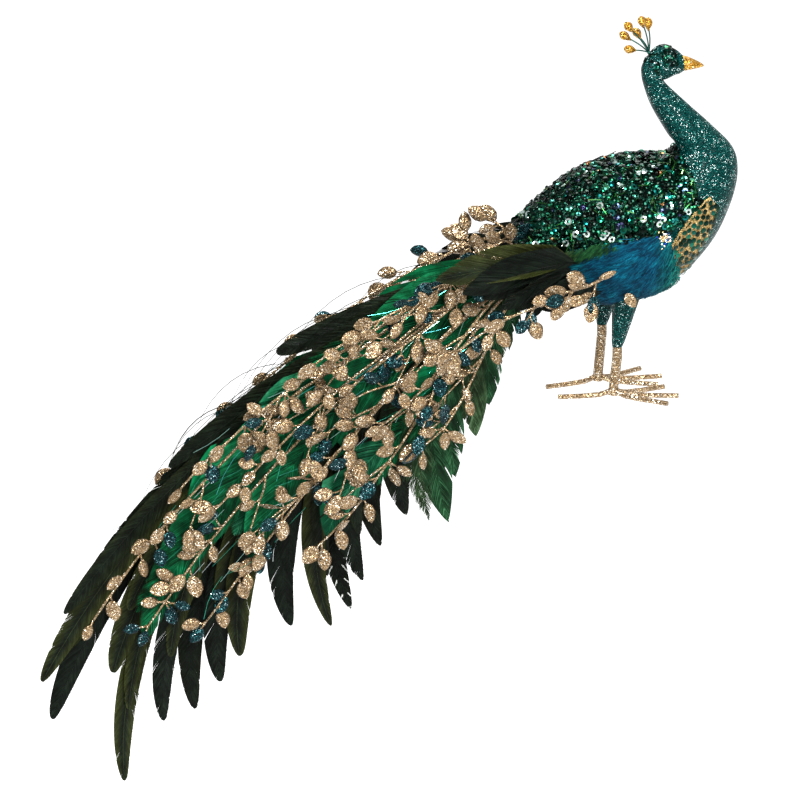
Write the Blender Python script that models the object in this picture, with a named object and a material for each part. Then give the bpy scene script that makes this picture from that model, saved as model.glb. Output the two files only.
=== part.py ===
"""Peacock ornament: a glitter bird on wire feet, with a long hanging tail of feathers and leaf sprays.

Metres, +Z up. The bird faces +X. The origin is on the perch plane, between the two feet.
"""
import math

import bmesh
import bpy
from mathutils import Vector

# Driving dimensions, in metres
FIGURE_HEIGHT = 0.316        # soles to crown; the body's pose and proportions are shares of this
GAP = 0.0003                 # clearance between pieces that touch
COAT_THICKNESS = 0.0020      # sequins and their glue over the back
FILIGREE_THICKNESS = 0.0012
DOWN_THICKNESS = 0.0110      # the blue down tufts at their fullest
SHANK_DIAMETER = 0.0088
TOE_DIAMETER = 0.0050
TOE_LENGTH = 0.058
SOLE_FLAT = 0.0006           # how deep the flat under a toe cuts into its wire
THIGH_TOP_DIAMETER = 0.030
THIGH_RISE = 0.062           # from the thigh's lower end to where its axis ends inside the body
BEAK_LENGTH = 0.0185
CREST_BEAD = 0.0034
CREST_WIRE = 0.0013
CREST_HEIGHT = 0.0308
CREST_DROP = 0.0105          # length of a glitter drop
WING_ARCH = 0.008            # how far the wing feathers rise between root and tip
WING_OUT_RUN = 0.020         # how soon behind its root a wing feather stands off the body
LEFT_WING_DROOP = 0.028      # the left wing hangs this much lower at its tip
TAIL_LENGTH = 0.500          # along the line that the tail follows from the rump
TAIL_DROP_START = math.radians(22)
TAIL_DROP_END = math.radians(58)
TAIL_ROOT_DEPTH = 0.022      # half the tail's thickness at the rump
TAIL_MID_DEPTH = 0.050
TAIL_END_DEPTH = 0.034
ROOT_SPREAD = 0.016          # half the height of the rump that the quills take up
FEATHER_THICKNESS = 0.0009
QUILL_WIDTH = 0.0022
GREEN_WIDTH = 0.050          # of the wide green feathers
STEM_DIAMETER = 0.0015
LEAF_LENGTH = 0.0165
LEAF_WIDTH = 0.0105
LEAF_THICKNESS = 0.0018
STALK_LENGTH = 0.006

# Facets of the body: sides of a section, and sections for each named station
SIDES = 16
RING_STEP = 0.5

# The body's stations from the rump to the beak, as shares of the figure's height:
# centre x, centre z, half height, half width, and the lean of the section in degrees
STATIONS = [
    (-0.247, 0.405, 0.075, 0.080, 112),   # rump, cut flat for the tail
    (-0.158, 0.430, 0.132, 0.114, 104),
    (-0.054, 0.455, 0.178, 0.146, 101),
    (0.047, 0.478, 0.190, 0.158, 100),    # fullest at the legs
    (0.146, 0.494, 0.181, 0.152, 103),
    (0.228, 0.539, 0.141, 0.133, 112),    # breast
    (0.269, 0.608, 0.112, 0.111, 132),
    (0.278, 0.668, 0.098, 0.092, 155),    # root of the neck
    (0.261, 0.712, 0.094, 0.080, 166),
    (0.222, 0.763, 0.078, 0.067, 170),
    (0.181, 0.813, 0.058, 0.053, 175),
    (0.146, 0.861, 0.039, 0.038, 180),    # nape
    (0.127, 0.899, 0.032, 0.033, 168),
    (0.134, 0.922, 0.041, 0.036, 142),
    (0.168, 0.949, 0.047, 0.039, 115),    # crown
    (0.194, 0.946, 0.037, 0.034, 101),
    (0.212, 0.939, 0.023, 0.022, 92),     # face, cut flat for the beak
]
LAST_STATION = len(STATIONS) - 1
BODY_CUT = (1.0, 5.0)        # the stations that a thigh's top is shaped to

COLOURS = {
    "teal_glitter": ((0.004, 0.085, 0.082, 1), 0.35, 0.6),
    "gold_glitter": ((0.60, 0.42, 0.20, 1), 0.35, 0.8),
    "champagne_glitter": ((0.58, 0.44, 0.28, 1), 0.4, 0.7),
    "sequin_green": ((0.004, 0.06, 0.035, 1), 0.2, 0.7),
    "blue_down": ((0.0, 0.09, 0.19, 1), 0.9, 0.0),
    "black_feather": ((0.008, 0.014, 0.008, 1), 0.5, 0.0),
    "green_feather": ((0.0, 0.13, 0.035, 1), 0.6, 0.0),
}

for old in list(bpy.data.objects):
    bpy.data.objects.remove(old, do_unlink=True)

peacock = bpy.data.collections.new("peacock_figurine")
bpy.context.scene.collection.children.link(peacock)


def finish(name, mesh, colour):
    """Turn a mesh into a named sub-part with its own material."""
    base, roughness, metallic = COLOURS[colour]
    material = bpy.data.materials.new(name)
    material.use_nodes = True
    shader = material.node_tree.nodes["Principled BSDF"]
    shader.inputs["Base Color"].default_value = base
    shader.inputs["Roughness"].default_value = roughness
    shader.inputs["Metallic"].default_value = metallic
    mesh.materials.clear()
    mesh.materials.append(material)
    mesh.shade_smooth()
    mesh.set_sharp_from_angle(angle=math.radians(40))
    part = bpy.data.objects.new(name, mesh)
    peacock.objects.link(part)
    return part


def closed_mesh(name, points, faces):
    """Make a closed mesh with its faces turned outward."""
    shape = bmesh.new()
    corners = [shape.verts.new(point) for point in points]
    for face in faces:
        shape.faces.new([corners[i] for i in face])
    bmesh.ops.recalc_face_normals(shape, faces=shape.faces)
    mesh = bpy.data.meshes.new(name)
    shape.to_mesh(mesh)
    shape.free()
    return mesh


def loft(name, rings):
    """Skin a run of equal rings and close both ends flat."""
    count = len(rings[0])
    points = [point for ring in rings for point in ring]
    faces = [tuple(range(count)), tuple((len(rings) - 1) * count + i for i in range(count))]
    for r in range(len(rings) - 1):
        for i in range(count):
            j = (i + 1) % count
            faces.append((r * count + i, r * count + j, (r + 1) * count + j, (r + 1) * count + i))
    return closed_mesh(name, points, faces)


def slab(name, rows):
    """Skin a grid of (inner, outer) point pairs into one closed slab."""
    wide = len(rows[0])
    inner = [pair[0] for row in rows for pair in row]
    outer = [pair[1] for row in rows for pair in row]
    shift = len(inner)
    faces = []
    for r in range(len(rows) - 1):
        for i in range(wide - 1):
            a = r * wide + i
            quad = (a, a + 1, a + wide + 1, a + wide)
            faces.append(quad)
            faces.append(tuple(v + shift for v in reversed(quad)))
    last = (len(rows) - 1) * wide
    rim = list(range(wide)) + [r * wide + wide - 1 for r in range(1, len(rows))]
    rim += [last + i for i in range(wide - 2, -1, -1)] + [r * wide for r in range(len(rows) - 2, 0, -1)]
    for a, b in zip(rim, rim[1:] + rim[:1]):
        faces.append((a, b, b + shift, a + shift))
    return closed_mesh(name, inner + outer, faces)


def tube(name, points, diameter, end_diameter=None, fineness=0):
    """A wire along points, made a mesh with its caps welded."""
    line = bpy.data.curves.new(name, "CURVE")
    line.dimensions = "3D"
    line.bevel_depth = diameter / 2
    line.bevel_resolution = fineness
    line.use_fill_caps = True
    spline = line.splines.new("POLY")
    spline.points.add(len(points) - 1)
    for i, point in enumerate(points):
        spline.points[i].co = (*point, 1)
        if end_diameter:
            share = i / (len(points) - 1)
            spline.points[i].radius = 1 + (end_diameter / diameter - 1) * share
    holder = bpy.data.objects.new(name, line)
    bpy.context.scene.collection.objects.link(holder)
    mesh = bpy.data.meshes.new_from_object(holder.evaluated_get(bpy.context.evaluated_depsgraph_get()))
    bpy.data.objects.remove(holder, do_unlink=True)
    shape = bmesh.new()
    shape.from_mesh(mesh)
    bmesh.ops.remove_doubles(shape, verts=shape.verts, dist=1e-6)
    bmesh.ops.recalc_face_normals(shape, faces=shape.faces)
    shape.to_mesh(mesh)
    shape.free()
    return mesh


def boolean(name, base, tools, operation):
    """Join or cut a mesh with others, and give back one clean mesh."""
    group = bpy.data.collections.new(name + "_tools")
    bpy.context.scene.collection.children.link(group)
    for i, mesh in enumerate(tools):
        tool = bpy.data.objects.new(f"{name}_tool_{i}", mesh)
        tool.hide_render = True
        tool.display_type = "WIRE"
        group.objects.link(tool)
    holder = bpy.data.objects.new(name, base)
    bpy.context.scene.collection.objects.link(holder)
    step = holder.modifiers.new("join", "BOOLEAN")
    step.operation = operation
    step.operand_type = "COLLECTION"
    step.collection = group
    bpy.context.view_layer.update()
    mesh = bpy.data.meshes.new_from_object(holder.evaluated_get(bpy.context.evaluated_depsgraph_get()))
    bpy.data.objects.remove(holder, do_unlink=True)
    for tool in list(group.objects):
        bpy.data.objects.remove(tool, do_unlink=True)
    bpy.data.collections.remove(group)
    shape = bmesh.new()
    shape.from_mesh(mesh)
    bmesh.ops.remove_doubles(shape, verts=shape.verts, dist=2e-6)
    bmesh.ops.dissolve_degenerate(shape, edges=shape.edges, dist=2e-6)
    shape.to_mesh(mesh)
    shape.free()
    return mesh


def blend(rows, place):
    """Read a smooth curve through rows of numbers at a place between them."""
    i = min(int(place), len(rows) - 2)
    f = place - i
    before = rows[max(i - 1, 0)]
    after = rows[min(i + 2, len(rows) - 1)]
    result = []
    for p0, p1, p2, p3 in zip(before, rows[i], rows[i + 1], after):
        slope_in = (p2 - p0) / 2
        slope_out = (p3 - p1) / 2
        result.append(
            (2 * f**3 - 3 * f**2 + 1) * p1 + (f**3 - 2 * f**2 + f) * slope_in
            + (3 * f**2 - 2 * f**3) * p2 + (f**3 - f**2) * slope_out)
    return result


def ring_point(place, angle, lift=0.0):
    """A point of the body's section: angle 0 is the back, 90 degrees the bird's right flank."""
    x, z, high, wide, lean = blend(STATIONS, place)
    lean = math.radians(lean)
    along = math.cos(angle) * (high * FIGURE_HEIGHT + lift)
    across = math.sin(angle) * (wide * FIGURE_HEIGHT + lift)
    return Vector((
        x * FIGURE_HEIGHT + along * math.cos(lean),
        -across,
        z * FIGURE_HEIGHT + along * math.sin(lean)))


def skin(place, degrees, lift=0.0):
    """A point on the body's facets, lifted off them, so that what lies on the body fits it."""
    step = 360 / SIDES
    row = min(int(place / RING_STEP), int(LAST_STATION / RING_STEP) - 1)
    column = math.floor(degrees / step)
    f = place / RING_STEP - row
    g = degrees / step - column
    low = ring_point(row * RING_STEP, math.radians(column * step), lift).lerp(
        ring_point(row * RING_STEP, math.radians((column + 1) * step), lift), g)
    high = ring_point((row + 1) * RING_STEP, math.radians(column * step), lift).lerp(
        ring_point((row + 1) * RING_STEP, math.radians((column + 1) * step), lift), g)
    return low.lerp(high, f)


def columns(first, last):
    """Angles from first to last, with every corner of the body's section between them."""
    step = 360 / SIDES
    inside = [step * i for i in range(SIDES) if first + 2 < step * i < last - 2]
    return [first] + inside + [last]


def body_rings(lift=0.0, first=0.0, last=LAST_STATION):
    """The body's sections between two stations."""
    count = round((last - first) / RING_STEP)
    return [
        [ring_point(first + r * RING_STEP, math.tau * i / SIDES, lift) for i in range(SIDES)]
        for r in range(count + 1)]


def make_body():
    """Body, neck and head moulded as one, cut flat at the rump and at the face."""
    finish("body", loft("body", body_rings()), "teal_glitter")


# The beak's sections: reach, size, and how far the section sinks toward the lower edge
BEAK_ROWS = [(0, 0.97, 0), (0.25, 0.84, 0.095), (0.5, 0.64, 0.22), (0.75, 0.415, 0.365), (1, 0.10, 0.54)]
BEAK_SIDES = 10


def make_beak():
    """A short beak that tapers to its lower edge, its base against the flat of the face."""
    x, z, high, wide, lean = STATIONS[-1]
    lean = math.radians(lean)
    up = Vector((math.cos(lean), 0, math.sin(lean)))
    out = Vector((math.sin(lean), 0, -math.cos(lean)))
    start = Vector((x, 0, z)) * FIGURE_HEIGHT + out * GAP
    rings = []
    for reach, size, sink in BEAK_ROWS:
        centre = start + out * (reach * BEAK_LENGTH) - up * (sink * high * FIGURE_HEIGHT)
        ring = []
        for i in range(BEAK_SIDES):
            turn = math.tau * i / BEAK_SIDES
            ring.append(centre + up * (math.cos(turn) * high * size * FIGURE_HEIGHT)
                        + Vector((0, math.sin(turn) * wide * size * FIGURE_HEIGHT, 0)))
        rings.append(ring)
    finish("beak", loft("beak", rings), "gold_glitter")


# A droplet's shape: where its shoulder is as shares of its stalk and of its length, how broad and thick
# it is there, and where its fullest place is
SHOULDER = (0.4, 0.12)
SHOULDER_SIZE = (0.5, 0.6)
BELLY = 0.5
POLE = 0.99                  # height on the unit sphere past which a vertex is one of its poles


def droplet(name, base, direction, length, width, thickness, face, neck=0.0, neck_width=None):
    """A flat leaf or drop on a short stalk, made from a sphere's rings."""
    shape = bmesh.new()
    bmesh.ops.create_uvsphere(shape, u_segments=4, v_segments=3, radius=1)
    direction = direction.normalized()
    normal = (face - direction * face.dot(direction)).normalized()
    side = direction.cross(normal)
    for vertex in shape.verts:
        height = vertex.co.z
        broad, thick = width / 2, thickness / 2
        if height > POLE:
            reach, broad, thick = 0.0, 0.0, 0.0
        elif height > 0:
            reach = max(neck * SHOULDER[0], length * SHOULDER[1])
            if neck:
                broad, thick = neck_width / 2, neck_width / 2
            else:
                broad, thick = broad * SHOULDER_SIZE[0], thick * SHOULDER_SIZE[1]
        elif height > -POLE:
            reach = neck + BELLY * length
        else:
            reach, broad, thick = neck + length, 0.0, 0.0
        turn = math.atan2(vertex.co.y, vertex.co.x)
        vertex.co = (base + direction * reach
                     + side * (math.cos(turn) * broad) + normal * (math.sin(turn) * thick))
    bmesh.ops.recalc_face_normals(shape, faces=shape.faces)
    mesh = bpy.data.meshes.new(name)
    shape.to_mesh(mesh)
    shape.free()
    return mesh


# Crest stalks: lean back from upright in degrees, share of the crest's height, and side lean in degrees
CREST_STALKS = [(0, 0.83, 8), (13, 1.0, -10), (30, 0.66, 14), (38, 1.0, -6), (58, 0.83, 10), (81, 0.63, -12)]
CREST_PLACE = 13.45          # station of the crest's bead on the crown
DROP_ROOT = 0.8              # share of a drop that reaches down its wire from the top of its stalk
DROP_SIZE = (0.66, 0.5)      # a drop's width and thickness, as shares of its length


def make_crest():
    """Six wires with glitter drops, rising from one bead on the crown."""
    centre = skin(CREST_PLACE, 0, GAP).lerp(skin(CREST_PLACE, 0, GAP + CREST_BEAD), 0.5)
    bead = bmesh.new()
    bmesh.ops.create_icosphere(bead, subdivisions=1, radius=CREST_BEAD / 2)
    bmesh.ops.translate(bead, verts=bead.verts, vec=centre)
    mesh = bpy.data.meshes.new("crest")
    bead.to_mesh(mesh)
    bead.free()
    pieces = []
    for lean, share, side in CREST_STALKS:
        back = math.radians(lean)
        out = math.radians(side)
        direction = Vector((-math.sin(back) * math.cos(out), math.sin(out), math.cos(back) * math.cos(out)))
        top = CREST_HEIGHT * share
        pieces.append(tube("crest_wire", [centre, centre + direction * (top - CREST_DROP / 2)], CREST_WIRE))
        pieces.append(droplet("crest_drop", centre + direction * (top - CREST_DROP * DROP_ROOT), direction,
                              CREST_DROP, CREST_DROP * DROP_SIZE[0], CREST_DROP * DROP_SIZE[1],
                              Vector((0, 1, 0))))
    finish("crest", boolean("crest", mesh, pieces, "UNION"), "gold_glitter")


COAT_EDGE = 88               # degrees round from the back to the coat's lower edge
COAT_FRONT = 6.0             # station of the coat's front edge on the back
COAT_FRONT_SLANT = 0.7       # how far back that edge is at the flank


def make_coat():
    """The sequin coat, a shell over the back from the rump to the root of the neck."""
    half = columns(0, COAT_EDGE)
    angles = [-angle for angle in reversed(half[1:])] + half
    rows = []
    rows_back = int((COAT_FRONT - COAT_FRONT_SLANT) / RING_STEP)
    places = [RING_STEP * r for r in range(rows_back + 1)] + [None]
    for place in places:
        row = []
        for angle in angles:
            here = COAT_FRONT - COAT_FRONT_SLANT * abs(angle) / COAT_EDGE if place is None else place
            row.append((skin(here, angle, GAP), skin(here, angle, GAP + COAT_THICKNESS)))
        rows.append(row)
    finish("sequin_coat", slab("sequin_coat", rows), "sequin_green")


# The breast filigree: station, and its upper and lower edge in degrees round from the back
FILIGREE_ROWS = [(4.15, 104, 139), (4.5, 97, 144), (5.0, 92, 150), (5.5, 93, 146), (5.9, 103, 139)]


def make_filigree(name, side):
    """A thin gold lace patch glued on one side of the breast."""
    rows = []
    for place, upper, lower in FILIGREE_ROWS:
        row = []
        for angle in columns(upper, lower):
            row.append((skin(place, side * angle, GAP), skin(place, side * angle, GAP + FILIGREE_THICKNESS)))
        rows.append(row)
    finish(name, slab(name, rows), "gold_glitter")


DOWN_FIRST = 1.5             # stations of the down tuft
DOWN_LAST = 4.0
DOWN_UPPER = 91              # its upper and lower edge, in degrees round from the back
DOWN_LOWER = 174
# The down's fullness along it and round it, as half waves: where each starts and how much of it is used
DOWN_WAVE_LONG = (0.12, 0.76)
DOWN_WAVE_ROUND = (0.10, 0.72)


def down_lift(place, angle):
    """How far the down tuft stands off the body."""
    along = (place - DOWN_FIRST) / (DOWN_LAST - DOWN_FIRST)
    share = (angle - DOWN_UPPER) / (DOWN_LOWER - DOWN_UPPER)
    long = math.sin(math.pi * (DOWN_WAVE_LONG[0] + DOWN_WAVE_LONG[1] * along))
    round_ = math.sin(math.pi * (DOWN_WAVE_ROUND[0] + DOWN_WAVE_ROUND[1] * share))
    return GAP + DOWN_THICKNESS * long * round_


def make_down(name, side):
    """A tuft of blue down on one flank, full in the middle, with the thigh let through it."""
    rows = []
    count = round((DOWN_LAST - DOWN_FIRST) / RING_STEP)
    for r in range(count + 1):
        place = DOWN_FIRST + r * RING_STEP
        row = []
        for angle in columns(DOWN_UPPER, DOWN_LOWER):
            row.append((skin(place, side * angle, GAP), skin(place, side * angle, down_lift(place, angle))))
        rows.append(row)
    hole = thigh_cone("thigh_hole", side, GAP)
    finish(name, boolean(name, slab(name, rows), [hole], "DIFFERENCE"), "blue_down")


# Where each knee is: the right one, side 1, is lower and a little ahead of the left one
KNEES = {1: Vector((0.0048, -0.0235, 0.0465)), -1: Vector((-0.0012, 0.0195, 0.0540))}
THIGH_LEAN = math.radians(10)
THIGH_FOOT = 1.12            # the thigh's lower width, as a share of the shank's
THIGH_EDGE = 0.93            # how much of that is left at its rounded lower edge
THIGH_SWELL = 0.9            # how evenly it widens: 1 is a straight cone
THIGH_SIDES = 12


def thigh_cone(name, side, lift):
    """The cone of one thigh, up to inside the body, grown by a clearance."""
    slope = Vector((math.sin(THIGH_LEAN), 0, math.cos(THIGH_LEAN)))
    foot_size = SHANK_DIAMETER * THIGH_FOOT
    rings = []
    for share in (0, 0.08, 0.4, 0.7, 1):
        size = foot_size + (THIGH_TOP_DIAMETER - foot_size) * share**THIGH_SWELL
        centre = KNEES[side] + slope * (THIGH_RISE * share)
        if share == 0:
            size *= THIGH_EDGE
            centre = centre - slope * lift
        ring = []
        for i in range(THIGH_SIDES):
            turn = math.tau * i / THIGH_SIDES
            ring.append(centre + Vector((math.cos(turn), math.sin(turn), 0)) * (size / 2 + lift))
        rings.append(ring)
    return loft(name, rings)


def make_thigh(name, side):
    """A teal glitter cone, its top shaped to the body."""
    cut = loft("body_cut", body_rings(GAP, *BODY_CUT))
    finish(name, boolean(name, thigh_cone(name, side, 0), [cut], "DIFFERENCE"), "teal_glitter")


# Toes of a foot: turn from straight ahead in degrees, and share of the toe length
TOES = [(0, 1.0), (30, 0.88), (-25, 0.94), (191, 0.84)]
# A toe's line: how far out, as a share of its length, and its rise off the sole in wire widths
TOE_LINE = [(0, 0.9), (0.10, 0.55), (0.25, 0.12), (0.55, 0.0), (1, 0.0)]
TOE_TAPER = 0.92
ANKLE_BACK = 0.004           # the shank leans back by this much down to the ankle


def make_leg(name, side, toe_out):
    """Shank and four toes of wire, welded at the ankle, with a flat under the foot."""
    top = KNEES[side] - Vector((0, 0, GAP))
    ankle = Vector((top.x - ANKLE_BACK, top.y, 0))
    axis = TOE_DIAMETER / 2 - SOLE_FLAT
    upright = top - Vector((0, 0, SHANK_DIAMETER))
    shank = tube(name, [ankle + Vector((0, 0, axis)), upright, top], SHANK_DIAMETER, fineness=3)
    pieces = []
    for turn, share in TOES:
        heading = math.radians(toe_out + turn)
        ahead = Vector((math.cos(heading), math.sin(heading), 0))
        reach = TOE_LENGTH * share
        line = []
        for out, rise in TOE_LINE:
            line.append(ankle + ahead * (out * reach) + Vector((0, 0, axis + rise * TOE_DIAMETER)))
        pieces.append(tube("toe", line, TOE_DIAMETER, TOE_DIAMETER * TOE_TAPER, 1))
    mesh = boolean(name, shank, pieces, "UNION")
    shape = bmesh.new()
    shape.from_mesh(mesh)
    cut = bmesh.ops.bisect_plane(shape, geom=shape.verts[:] + shape.edges[:] + shape.faces[:],
                                 plane_co=(0, 0, 0), plane_no=(0, 0, -1), clear_outer=True)
    rim = [item for item in cut["geom_cut"] if isinstance(item, bmesh.types.BMEdge)]
    bmesh.ops.holes_fill(shape, edges=rim, sides=0)
    bmesh.ops.recalc_face_normals(shape, faces=shape.faces)
    shape.to_mesh(mesh)
    shape.free()
    finish(name, mesh, "champagne_glitter")


def vane(name, line, sides, colour, thickness=FEATHER_THICKNESS):
    """A feather as a thin closed blade: a line of points, and its half width to each side there."""
    rows = []
    for i, (point, (left, right, across, face)) in enumerate(zip(line, sides)):
        half = face * (thickness / 2)
        rows.append([
            (point - across * left - half, point - across * left + half),
            (point + across * right - half, point + across * right + half)])
    finish(name, slab(name, rows), colour)


# Wing feathers: root station, root angle, the tip's x and z, the vane's width,
# and how far the vane stands off the body behind its root
WING_FEATHERS = [
    (1.45, 100, -0.164, 0.128, 0.034, 0.018),
    (1.30, 111, -0.121, 0.106, 0.030, 0.014),
    (1.15, 121, -0.090, 0.090, 0.026, 0.011),
]
WING_UP = Vector((0.12, 0, 0.99))      # across the vane, leaning a little forward
WING_HALVES = (1.2, 0.8)               # the vane's lower and upper width, as shares of an even one
WING_LEAN = 0.7                        # how near the root the wing feather is fullest
VANE_STEPS = 6


def make_wing_feather(name, side, droop, root_place, root_angle, tip_x, tip_z, width, stand_off):
    """A dark wing feather that leaves the flank behind the down tuft and lies back over the rump."""
    root = skin(root_place, side * root_angle, GAP + FEATHER_THICKNESS)
    line = []
    sides = []
    for i in range(VANE_STEPS + 1):
        q = i / VANE_STEPS
        arch = math.sin(math.pi * q**WING_LEAN)
        x = root.x + (tip_x - root.x) * q
        out = stand_off * (1 - math.exp((x - root.x) / WING_OUT_RUN))
        half = max(QUILL_WIDTH / 2, width / 2 * arch**WING_LEAN)
        z = root.z + (tip_z - droop - root.z) * q + WING_ARCH * arch
        line.append(Vector((x, root.y - side * out, z)))
        sides.append((half * WING_HALVES[0], half * WING_HALVES[1], WING_UP, Vector((0, 1, 0))))
    vane(name, line, sides, "black_feather")


# The tail's section along it, as shares of its length: where it is thickest, how much farther it thins,
# and in height the middle of its section, half of it, and how much thinner it is at its edges
THICKEST = 0.4
THINNING = 0.8
SECTION_MIDDLE = -0.1
SECTION_HALF = 0.27
EDGE_THINNING = 0.3


def tail_point(s, w, depth):
    """A point of the tail: s along its line from the rump, w above it, depth a share of its thickness."""
    radius = TAIL_LENGTH / (TAIL_DROP_END - TAIL_DROP_START)
    drop = TAIL_DROP_START + s / radius
    root_x = STATIONS[0][0] * FIGURE_HEIGHT
    root_z = STATIONS[0][1] * FIGURE_HEIGHT
    x = root_x + radius * math.sin(TAIL_DROP_START) - (radius + w) * math.sin(drop)
    z = root_z - radius * math.cos(TAIL_DROP_START) + (radius + w) * math.cos(drop)
    if s < TAIL_LENGTH * THICKEST:
        share = math.sin(math.pi / 2 * s / (TAIL_LENGTH * THICKEST))
        thick = TAIL_ROOT_DEPTH + (TAIL_MID_DEPTH - TAIL_ROOT_DEPTH) * share
    else:
        share = min(1, (s / TAIL_LENGTH - THICKEST) / THINNING)
        thick = TAIL_MID_DEPTH + (TAIL_END_DEPTH - TAIL_MID_DEPTH) * share
    off = min(1, abs(w / TAIL_LENGTH - SECTION_MIDDLE) / SECTION_HALF)
    return Vector((x, -depth * thick * (1 - EDGE_THINNING * off * off), z))


FEATHER_LAYER = 0.075        # share of the tail's thickness between two layers of feathers
LAYER_ORDER = [0, 3, -2, 1, -4, 2, -1, 4, -3]

# Tail feathers round the tail's outline, from the upper edge to the lower one:
# tip along the tail, tip above its line, both as shares of the tail's length, and the vane's width
TAIL_FEATHERS = [
    ("upper", 0.44, 0.080, 0.022), ("upper", 0.70, 0.070, 0.022), ("upper", 0.96, 0.050, 0.020),
    ("train", 1.13, 0.035, 0.020), ("train", 1.19, -0.020, 0.022),
    ("train", 1.06, -0.070, 0.024), ("train", 1.25, -0.180, 0.020),
    ("train", 1.10, -0.190, 0.022), ("train", 1.06, -0.240, 0.022),
    ("train", 0.98, -0.250, 0.024), ("train", 0.91, -0.248, 0.024),
    ("hanging", 0.80, -0.300, 0.024), ("hanging", 0.745, -0.352, 0.020),
    ("hanging", 0.69, -0.366, 0.022), ("hanging", 0.62, -0.335, 0.024),
    ("hanging", 0.54, -0.318, 0.024), ("hanging", 0.45, -0.295, 0.026),
    ("hanging", 0.33, -0.240, 0.026), ("hanging", 0.19, -0.196, 0.026),
]
# Bare share of the quill, and the vane's shape: where it is cut short, how far its fullest place
# lies toward the tip, and how quickly it widens
BARE_QUILL = {"upper": 0.25, "train": 0.38, "hanging": 0.30, "green": 0.10}
BARE_STEP = 0.55             # share of the bare quill at which it has a corner
VANE_END = 0.95
VANE_LEAN = 1.2
VANE_FULL = 0.55
FALL_TURN = math.radians(60) # how much of a quarter ellipse a falling feather takes
AHEAD = 0.01                 # share of a feather's length over which its direction is read


def fall(q, root, tip_s, tip_w):
    """Where a feather's shaft is: it leaves the rump along the tail and falls on part of an ellipse."""
    along = math.sin(q * FALL_TURN) / math.sin(FALL_TURN)
    down = (1 - math.cos(q * FALL_TURN)) / (1 - math.cos(FALL_TURN))
    return GAP + (tip_s - GAP) * along, root + (tip_w - root) * down


def make_tail_feather(name, root, layer, tip_s, tip_w, width, bare, colour):
    """One tail feather in its own layer, its quill against the rump and its tip at the outline."""
    line = []
    sides = []
    places = [0.0, bare * BARE_STEP] + [bare + (1 - bare) * i / VANE_STEPS for i in range(VANE_STEPS + 1)]
    for q in places:
        s, w = fall(q, root, tip_s, tip_w)
        point = tail_point(s, w, layer)
        ahead_s, ahead_w = fall(q + AHEAD, root, tip_s, tip_w)
        back_s, back_w = fall(q - AHEAD, root, tip_s, tip_w)
        run_s, run_w = ahead_s - back_s, ahead_w - back_w
        length = math.hypot(run_s, run_w)
        share = min(1, max(0, (q - bare) / (1 - bare))) * min(1, VANE_END)
        half = max(QUILL_WIDTH / 2, width / 2 * math.sin(math.pi * share ** VANE_LEAN) ** VANE_FULL)
        upper = tail_point(s - run_w / length * half, w + run_s / length * half, layer)
        lower = tail_point(s + run_w / length * half, w - run_s / length * half, layer)
        across = upper - lower
        line.append(lower)
        sides.append((0.0, across.length, across.normalized(), Vector((0, 1, 0))))
    vane(name, line, sides, colour)


def make_tail_feathers():
    """The dark feathers round the tail's outline, each in a layer that no neighbour uses."""
    count = {"upper": 0, "train": 0, "hanging": 0}
    for i, (kind, tip_s, tip_w, width) in enumerate(TAIL_FEATHERS):
        count[kind] += 1
        turn = i // len(LAYER_ORDER)
        root = ROOT_SPREAD * (1 - 2 * (turn + 0.5) / 3)
        layer = LAYER_ORDER[i % len(LAYER_ORDER)] * FEATHER_LAYER
        make_tail_feather(f"{kind}_feather_{count[kind]}", root, layer,
                          tip_s * TAIL_LENGTH, tip_w * TAIL_LENGTH, width, BARE_QUILL[kind],
                          "black_feather")


# Wide green feathers under the sprays: layer, root above the line as a share of the spread, and the tip
# along the tail and above its line as shares of its length. The left side has the first two.
GREEN_FEATHERS = [(0.375, 0.55, 0.46, -0.12), (0.45, 0.0, 0.98, -0.08), (0.525, -0.55, 0.74, -0.15)]


def make_green_feathers():
    """Wide green feathers, three on the right of the tail and two on the left."""
    for side, label, number in ((1, "right", 3), (-1, "left", 2)):
        for i, (layer, root, tip_s, tip_w) in enumerate(GREEN_FEATHERS[:number]):
            make_tail_feather(f"green_feather_{label}_{i + 1}", root * ROOT_SPREAD, side * layer,
                              tip_s * TAIL_LENGTH, tip_w * TAIL_LENGTH, GREEN_WIDTH,
                              BARE_QUILL["green"], "green_feather")


# Leaf sprays of the right side: layer, root above the line (share of the spread),
# stretch of the tail with leaves, and where the stem ends above the line, as shares of its length
SPRAYS = [
    (1.08, 1.10, 0.04, 0.38, 0.065), (0.92, 0.25, 0.08, 0.36, -0.020),
    (1.00, -0.30, 0.08, 0.37, -0.110), (0.92, -0.80, 0.06, 0.33, -0.190),
    (0.84, 0.75, 0.40, 0.70, 0.050), (0.76, 0.25, 0.38, 0.70, -0.030),
    (0.84, -0.30, 0.38, 0.68, -0.120), (0.76, -0.80, 0.35, 0.62, -0.215),
    (0.68, 0.70, 0.70, 0.98, 0.015), (0.60, 0.00, 0.70, 0.96, -0.070), (0.68, -0.70, 0.68, 0.88, -0.150),
]
LEFT_SPRAYS = [0, 2, 4, 6, 9]          # the left side has fewer
LEAVES = 7
LEAF_SPLAY = math.radians(48)
LEAF_SINK = (0.3, 1.2)       # how deep in the stem a side leaf and the last leaf start, in stem widths
STALK_WIDTH = 0.9            # of a leaf's stalk, in stem widths
STEM_EASE = 1.3              # how late a stem leaves the height of its root
STEM_STEPS = 5


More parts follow.
